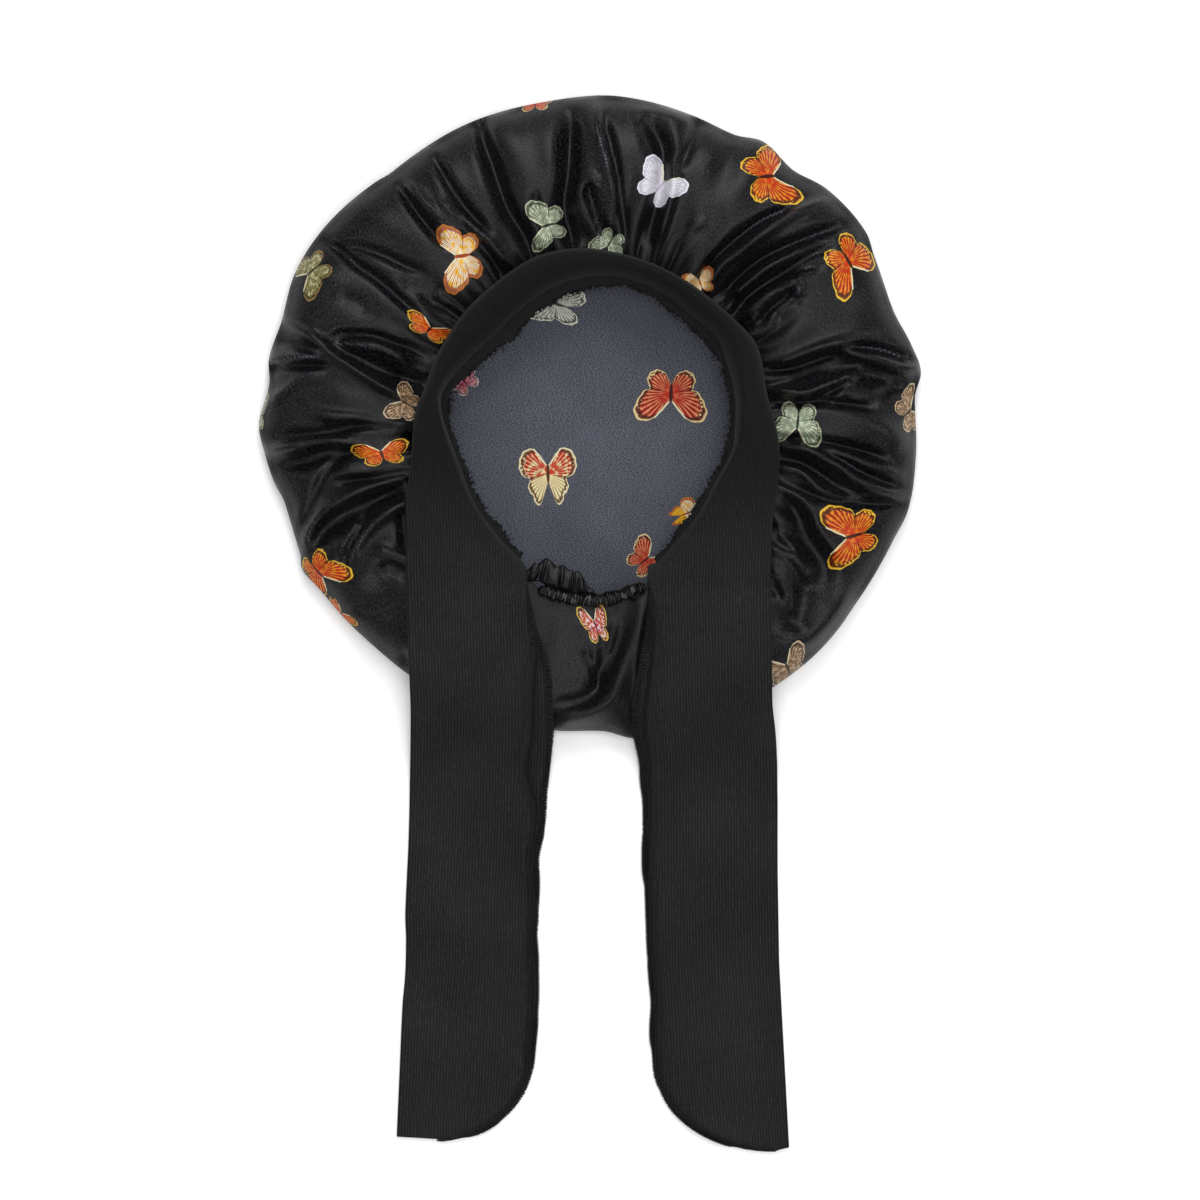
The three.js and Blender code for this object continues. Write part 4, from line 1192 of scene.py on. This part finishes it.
def folded_strip():
    """A grid over the outer face of the folded strip: the back layer, the turn and the front."""
    at, sections, along = strip_surface()
    shares = np.linspace(0, 1, LAYER_STEPS + 1)
    middle = at(shares)
    up = -grid_normals(middle, False)
    start = front_start(sections)
    front_shares = start + (1 - start) * shares[::-1]
    front = at(front_shares)
    front_up = -grid_normals(front[:, ::-1], False)[:, ::-1]
    outward = unit(middle[:, -1] - middle[:, -2])
    turned = []
    for turn in np.arange(1, FOLD_STEPS) * math.pi / FOLD_STEPS:
        side = LAYER_OFFSET * math.sin(turn) * outward
        turned.append(middle[:, -1] + side - LAYER_OFFSET * math.cos(turn) * up[:, -1])
    lip = raw_lip(front_shares - start, sections[:, 8])
    points = np.concatenate([
        middle - LAYER_OFFSET * up,
        np.stack(turned, axis=1),
        front + (LAYER_OFFSET + lip)[..., None] * front_up,
    ], axis=1)[:, ::-1]
    points = points + grid_normals(points, False) * LAYER_WALL / 2
    points[..., 2] = np.maximum(points[..., 2], 0)
    return points, sections, along


def make_tie_band():
    points, sections, along = folded_strip()
    piece = cloth_shell("tie_band_knit", points, LAYER_WALL)
    length = length_along(points)
    across = length - length[:, LAYER_STEPS:LAYER_STEPS + 1]
    knit = np.stack([np.broadcast_to(along[:, None], across.shape), across], axis=-1)
    set_uv(piece, "knit", np.tile(knit.reshape(-1, 2), (2, 1)))
    # distance from the raw edges, where the knit is darker for the overlock thread and as painted
    # shadow
    from_raw = np.minimum(length, length[:, -1:] - length)
    set_attribute(piece, "raw_edge", "FLOAT", "POINT", np.tile(from_raw.ravel(), 2))
    ring = along[sections[:, 1] > RIBS_FLATTEN]
    piece.data.materials.append(rib_knit(float(ring[0]), float(ring[-1])))
    own(piece, "tie_band")
    return piece


# The sewn edges in the opening, the casing and its frill

SEAM_WALL = 0.9
SEAM_RAGGED, SEAM_WAVY = 0.55, 0.6
RAGGED_RISE = 0.25


def make_seam_allowance():
    angles = np.linspace(SEAM_START, SEAM_END, 620)
    tuck = opening_radius(angles) + SEAM_UNDER_BAND
    free = seam_inner(angles)
    ragged = smooth_noise(angles, 360, range(60, 260, 9), 21)
    wavy = smooth_noise(angles, 360, range(9, 30, 3), 22)
    rows = []
    for share in np.linspace(0, 1, 9):
        radius = mix(tuck, free, share) + share * (SEAM_RAGGED * ragged + SEAM_WAVY * wavy)
        height = SEAM_HEIGHT - SEAM_WALL - SEAM_HANG * share ** 2 + RAGGED_RISE * ragged * share
        rows.append(polar_points(angles, radius, height))
    piece = cloth_shell("overlocked_seam", np.array(rows)[::-1], SEAM_WALL)
    piece.data.materials.append(thread_cloth("black_overlock_thread", "#050606", "#151717"))
    own(piece, "seam_allowance")
    return piece


CASING_COUNT, CASING_SIDES = 300, 28
CASING_RUCHE = 3.0  # length of one ruche along the casing
RUCHE_SLANT, RUCHE_DRIFT = 1.8, 0.6  # ruches that one turn is out by, and at random
RUCHE_FULLNESS = 0.9  # below 1, its top is rounder than a wave's
CASING_CORE, RUCHE_RISE, CASING_UNEVEN = 2.1, 1.9, 0.35  # radius in a valley, and what adds to it
CASING_END = 2.5  # length over which an end tapers
END_RADIUS = 0.35  # of the full radius


def casing_line(count):
    """Points at even steps along the casing's middle, the direction across it at each, and how
    far along each is."""
    path = np.stack([CASING_PATH["x"], CASING_PATH["y"]], axis=-1)
    fine = between(path, np.linspace(0, len(path) - 1, 400))
    length = length_along(fine)
    along = np.linspace(0, length[-1], count)
    xy = np.stack([np.interp(along, length, fine[:, k]) for k in (0, 1)], axis=-1)
    ahead = unit(np.gradient(xy, axis=0))
    return xy, np.stack([-ahead[:, 1], ahead[:, 0]], axis=-1), along


def make_casing():
    xy, across, along = casing_line(CASING_COUNT)
    turn = np.arange(CASING_SIDES) * 2 * np.pi / CASING_SIDES
    drift = RUCHE_DRIFT * smooth_noise(along, along[-1], range(3, 17, 2), 31)[:, None]
    phase = along[:, None] / CASING_RUCHE + RUCHE_SLANT * turn / (2 * np.pi) + drift
    ruche = np.abs(np.sin(np.pi * phase)) ** RUCHE_FULLNESS
    uneven = smooth_noise(along, along[-1], range(2, 9), 32)[:, None]
    radius = CASING_CORE + RUCHE_RISE * ruche + CASING_UNEVEN * uneven
    from_end = np.minimum(along, along[-1] - along)[:, None]
    radius = radius * mix(END_RADIUS, 1, smoothstep(from_end, 0, CASING_END))
    points = np.empty((CASING_COUNT, CASING_SIDES, 3))
    points[..., :2] = xy[:, None] + across[:, None] * (radius * np.cos(turn))[..., None]
    points[..., 2] = SEAM_HEIGHT + CASING_LIFT + radius * np.sin(turn)
    faces = grid_faces(CASING_COUNT, CASING_SIDES, True)[:, ::-1].tolist()
    first = np.arange(CASING_SIDES)
    last = first + (CASING_COUNT - 1) * CASING_SIDES
    faces += [first.tolist(), last[::-1].tolist()]
    piece = new_piece("nape_casing_satin", points.reshape(-1, 3), faces)
    piece.data.materials.append(thread_cloth("black_satin_casing", "#030304", "#0c0c0e", 0.5, 0.3))
    own(piece, "nape_casing")


FRILL_SPAN = (-44, 6)  # from x to x
FRILL_RISE = (-44, -33)  # x over which it comes to its full height
FRILL_FALL = (6.5, -12)  # and over which it rises from the other end
FRILL_WALL = 0.5
FRILL_BACK = 3.2  # behind the casing's middle
FRILL_LEAN, FRILL_TALL = 12.5, 4.2  # how far it leans into the opening and stands up
FRILL_FOOT = 0.8  # above the seam
FRILL_BOW = 2.3  # radians of an arch that it follows on its way up
FRILL_PERIOD = 51
CRINKLES, CRINKLE_DRIFT = 0.6, 2.6  # radians a millimetre, and at random
CRINKLE_DEPTH, CRINKLE_SWAY, CRINKLE_LEAN = 0.9, 0.5, 2.4


def make_frill():
    count, rows = 260, 16
    x = np.linspace(*FRILL_SPAN, count)
    y = curve_through(CASING_PATH, "x", "y")(x)
    turn = CRINKLES * x + CRINKLE_DRIFT * smooth_noise(x, FRILL_PERIOD, range(2, 9), 41)
    tall = smoothstep(x, *FRILL_FALL) * mix(0.2, 1, smoothstep(x, *FRILL_RISE))
    tall = tall * (1 + 0.08 * smooth_noise(x, FRILL_PERIOD, range(3, 9), 43))
    points = []
    for share in np.linspace(0, 1, rows):
        lean = FRILL_LEAN * tall - CRINKLE_SWAY * np.sin(turn)
        radius = np.hypot(x, y) - FRILL_BACK - lean * share
        puff = FRILL_TALL * math.sin(FRILL_BOW * share)
        crinkle = math.sin(math.pi * share ** 0.8) * np.sin(turn + CRINKLE_LEAN * share)
        height = SEAM_HEIGHT + FRILL_FOOT + (puff + CRINKLE_DEPTH * crinkle) * tall
        points.append(polar_points(angle_of(x, y), radius, height))
    piece = cloth_shell("nape_frill_satin", np.array(points), FRILL_WALL)
    piece.data.materials.append(thread_cloth("black_satin_frill", "#030304", "#101013", 0.3, 0.38))
    own(piece, "nape_frill")
    return piece


# Overlock stitches and frayed threads

STITCH_RADIUS = 0.3
STITCH_PITCH = 1.5
BACK_STITCH, FRONT_STITCH = 3.4, 3.6  # how far the loops reach in over each layer
STITCHED_Y = -88  # the ties' raw edges start here
LOOP = [  # a loop's points: along in pitches, in by the reach, and up
    (-0.5, 1.0, 0.35), (-0.25, 0.66, 0.75), (0.0, 0.3, 0.85), (0.2, -0.14, 0.45),
    (0.3, -0.2, -0.35), (0.4, 0.35, -0.7),
]


def edge_stitches(edge, inward, up, reach, seed):
    """Overlock loops over a raw edge: slanted threads from the needle line round the edge."""
    length = length_along(edge)
    count = int(length[-1] / STITCH_PITCH)
    random = np.random.default_rng(seed)
    at = (np.arange(count) + 0.5 + random.uniform(-0.16, 0.16, count)) * STITCH_PITCH
    reach = reach * random.uniform(0.85, 1.1, (count, 1))

    def near(shift, values):
        places = at + shift * STITCH_PITCH
        return np.stack([np.interp(places, length, values[:, k]) for k in range(3)], axis=-1)

    return np.stack([
        near(shift, edge) + near(shift, inward) * reach * inner + near(shift, up) * lift
        for shift, inner, lift in LOOP
    ], axis=1)


def make_overlock():
    at, sections, _ = strip_surface()
    start = front_start(sections)
    tie = np.flatnonzero(sections[:, 1] < STITCHED_Y)
    halves = [tie[tie < len(sections) // 2], tie[tie >= len(sections) // 2]]
    stitches = []
    for shares, offset, reach, seed in [
        (start * 0, -LAYER_OFFSET, BACK_STITCH, 51), (start, LAYER_OFFSET, FRONT_STITCH, 52),
    ]:
        three = at(np.concatenate([shares, shares + 0.04, shares + 0.08], axis=1))
        up = -grid_normals(three, False)[:, 0]
        edge = three[:, 0] + offset * up
        inward = unit(three[:, 1] - three[:, 0])
        for half in halves:
            stitches.append(edge_stitches(edge[half], inward[half], up[half], reach, seed))
            seed += 10
    lines = np.concatenate(stitches)
    lines[..., 2] = np.maximum(lines[..., 2], STITCH_RADIUS)
    piece = threads("tie_overlock", lines, STITCH_RADIUS)
    piece.data.materials.append(thread_cloth("black_stitch_thread", "#080909", "#2c2f2d"))
    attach(piece, "root")
    return piece


FRAY_RADIUS = 0.22
FRAY_LENGTHS = (1.6, 4.2)
FRAY_ROOT = 1.2  # of a thread, outside the seam's free edge


def make_frays():
    """Loose ends of thread along the raw edge inside the opening."""
    random = np.random.default_rng(71)
    count, steps = 320, 7
    angle = random.uniform(SEAM_END, SEAM_START, count)
    root = polar_points(angle, seam_inner(angle) + FRAY_ROOT, SEAM_HEIGHT - SEAM_HANG)
    way = np.radians(angle) + math.pi + random.normal(0, 0.7, count)
    bend = random.normal(0, 0.5, count)
    length = random.uniform(*FRAY_LENGTHS, count)
    drop = random.uniform(-0.9, 0.3, count)
    lines = []
    for share in np.linspace(0, 1, steps):
        lean = way + bend * share
        step = np.stack([np.cos(lean), np.sin(lean), drop], axis=-1)
        lines.append(root + step * length[:, None] * share)
    piece = threads("seam_frays", np.stack(lines, axis=1), FRAY_RADIUS, 3)
    piece.data.materials.append(thread_cloth("black_frayed_thread", "#060707", "#161817"))
    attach(piece, "root")
    return piece


# The studio, in metres and watts

FLOOR_SIZE = 8
FLOOR_DROP = 0.0003  # below the bonnet
WORLD_LIGHT = 0.31
SOFTBOXES = [  # name, place, side and power
    ("overhead_softbox", (0.2, 0.0, 2.1), 1.0, 15),
    ("brow_softbox", (0.0, 1.5, 1.45), 1.1, 25),
    ("left_softbox", (-1.6, 0.1, 1.4), 0.9, 4),
    ("right_softbox", (1.6, 0.0, 1.4), 0.9, 9),
    ("tie_side_softbox", (-0.1, -1.6, 1.5), 0.9, 13),
]
CAMERA_HEIGHT = 3.0


def make_stage():
    bpy.ops.object.select_all(action="DESELECT")
    bpy.ops.mesh.primitive_plane_add(size=FLOOR_SIZE, location=(0, 0, -FLOOR_DROP))
    floor = bpy.context.object
    floor.name = "pale_floor"
    material, add = new_material("pale_matt_floor")
    surface(add, {"Base Color": colour("#fcfcfc"), "Roughness": 0.9})
    floor.data.materials.append(material)
    world = bpy.data.worlds.new("studio")
    bpy.context.scene.world = world
    world.use_nodes = True
    background = world.node_tree.nodes["Background"]
    background.inputs["Color"].default_value = colour("#ffffff")
    background.inputs["Strength"].default_value = WORLD_LIGHT
    for name, place, side, power in SOFTBOXES:
        data = bpy.data.lights.new(name, "AREA")
        data.shape = "SQUARE"
        data.size = side
        data.energy = power
        lamp = bpy.data.objects.new(name, data)
        bpy.context.scene.collection.objects.link(lamp)
        lamp.location = place
        lamp.rotation_mode = "QUATERNION"
        lamp.rotation_quaternion = (-lamp.location).to_track_quat("-Z", "Y")
        lamp.visible_camera = False
    bpy.context.scene.view_settings.view_transform = "Standard"


def make_camera():
    """A camera straight above, framed as the photograph is."""
    data = bpy.data.cameras.new("camera")
    data.sensor_width = 36
    data.lens = data.sensor_width * CAMERA_HEIGHT / (PHOTO_PIXELS * MM_PER_PIXEL * MM)
    data.clip_end = 10
    camera = bpy.data.objects.new("camera", data)
    bpy.context.scene.collection.objects.link(camera)
    x, y = from_photo(PHOTO_PIXELS / 2, PHOTO_PIXELS / 2)
    camera.location = (x * MM, y * MM, CAMERA_HEIGHT)
    bpy.context.scene.camera = camera


make_camera()
make_stage()
make_casing()
make_crown()
make_tie_band()
make_overlock()
make_seam_allowance()
make_frays()
make_frill()
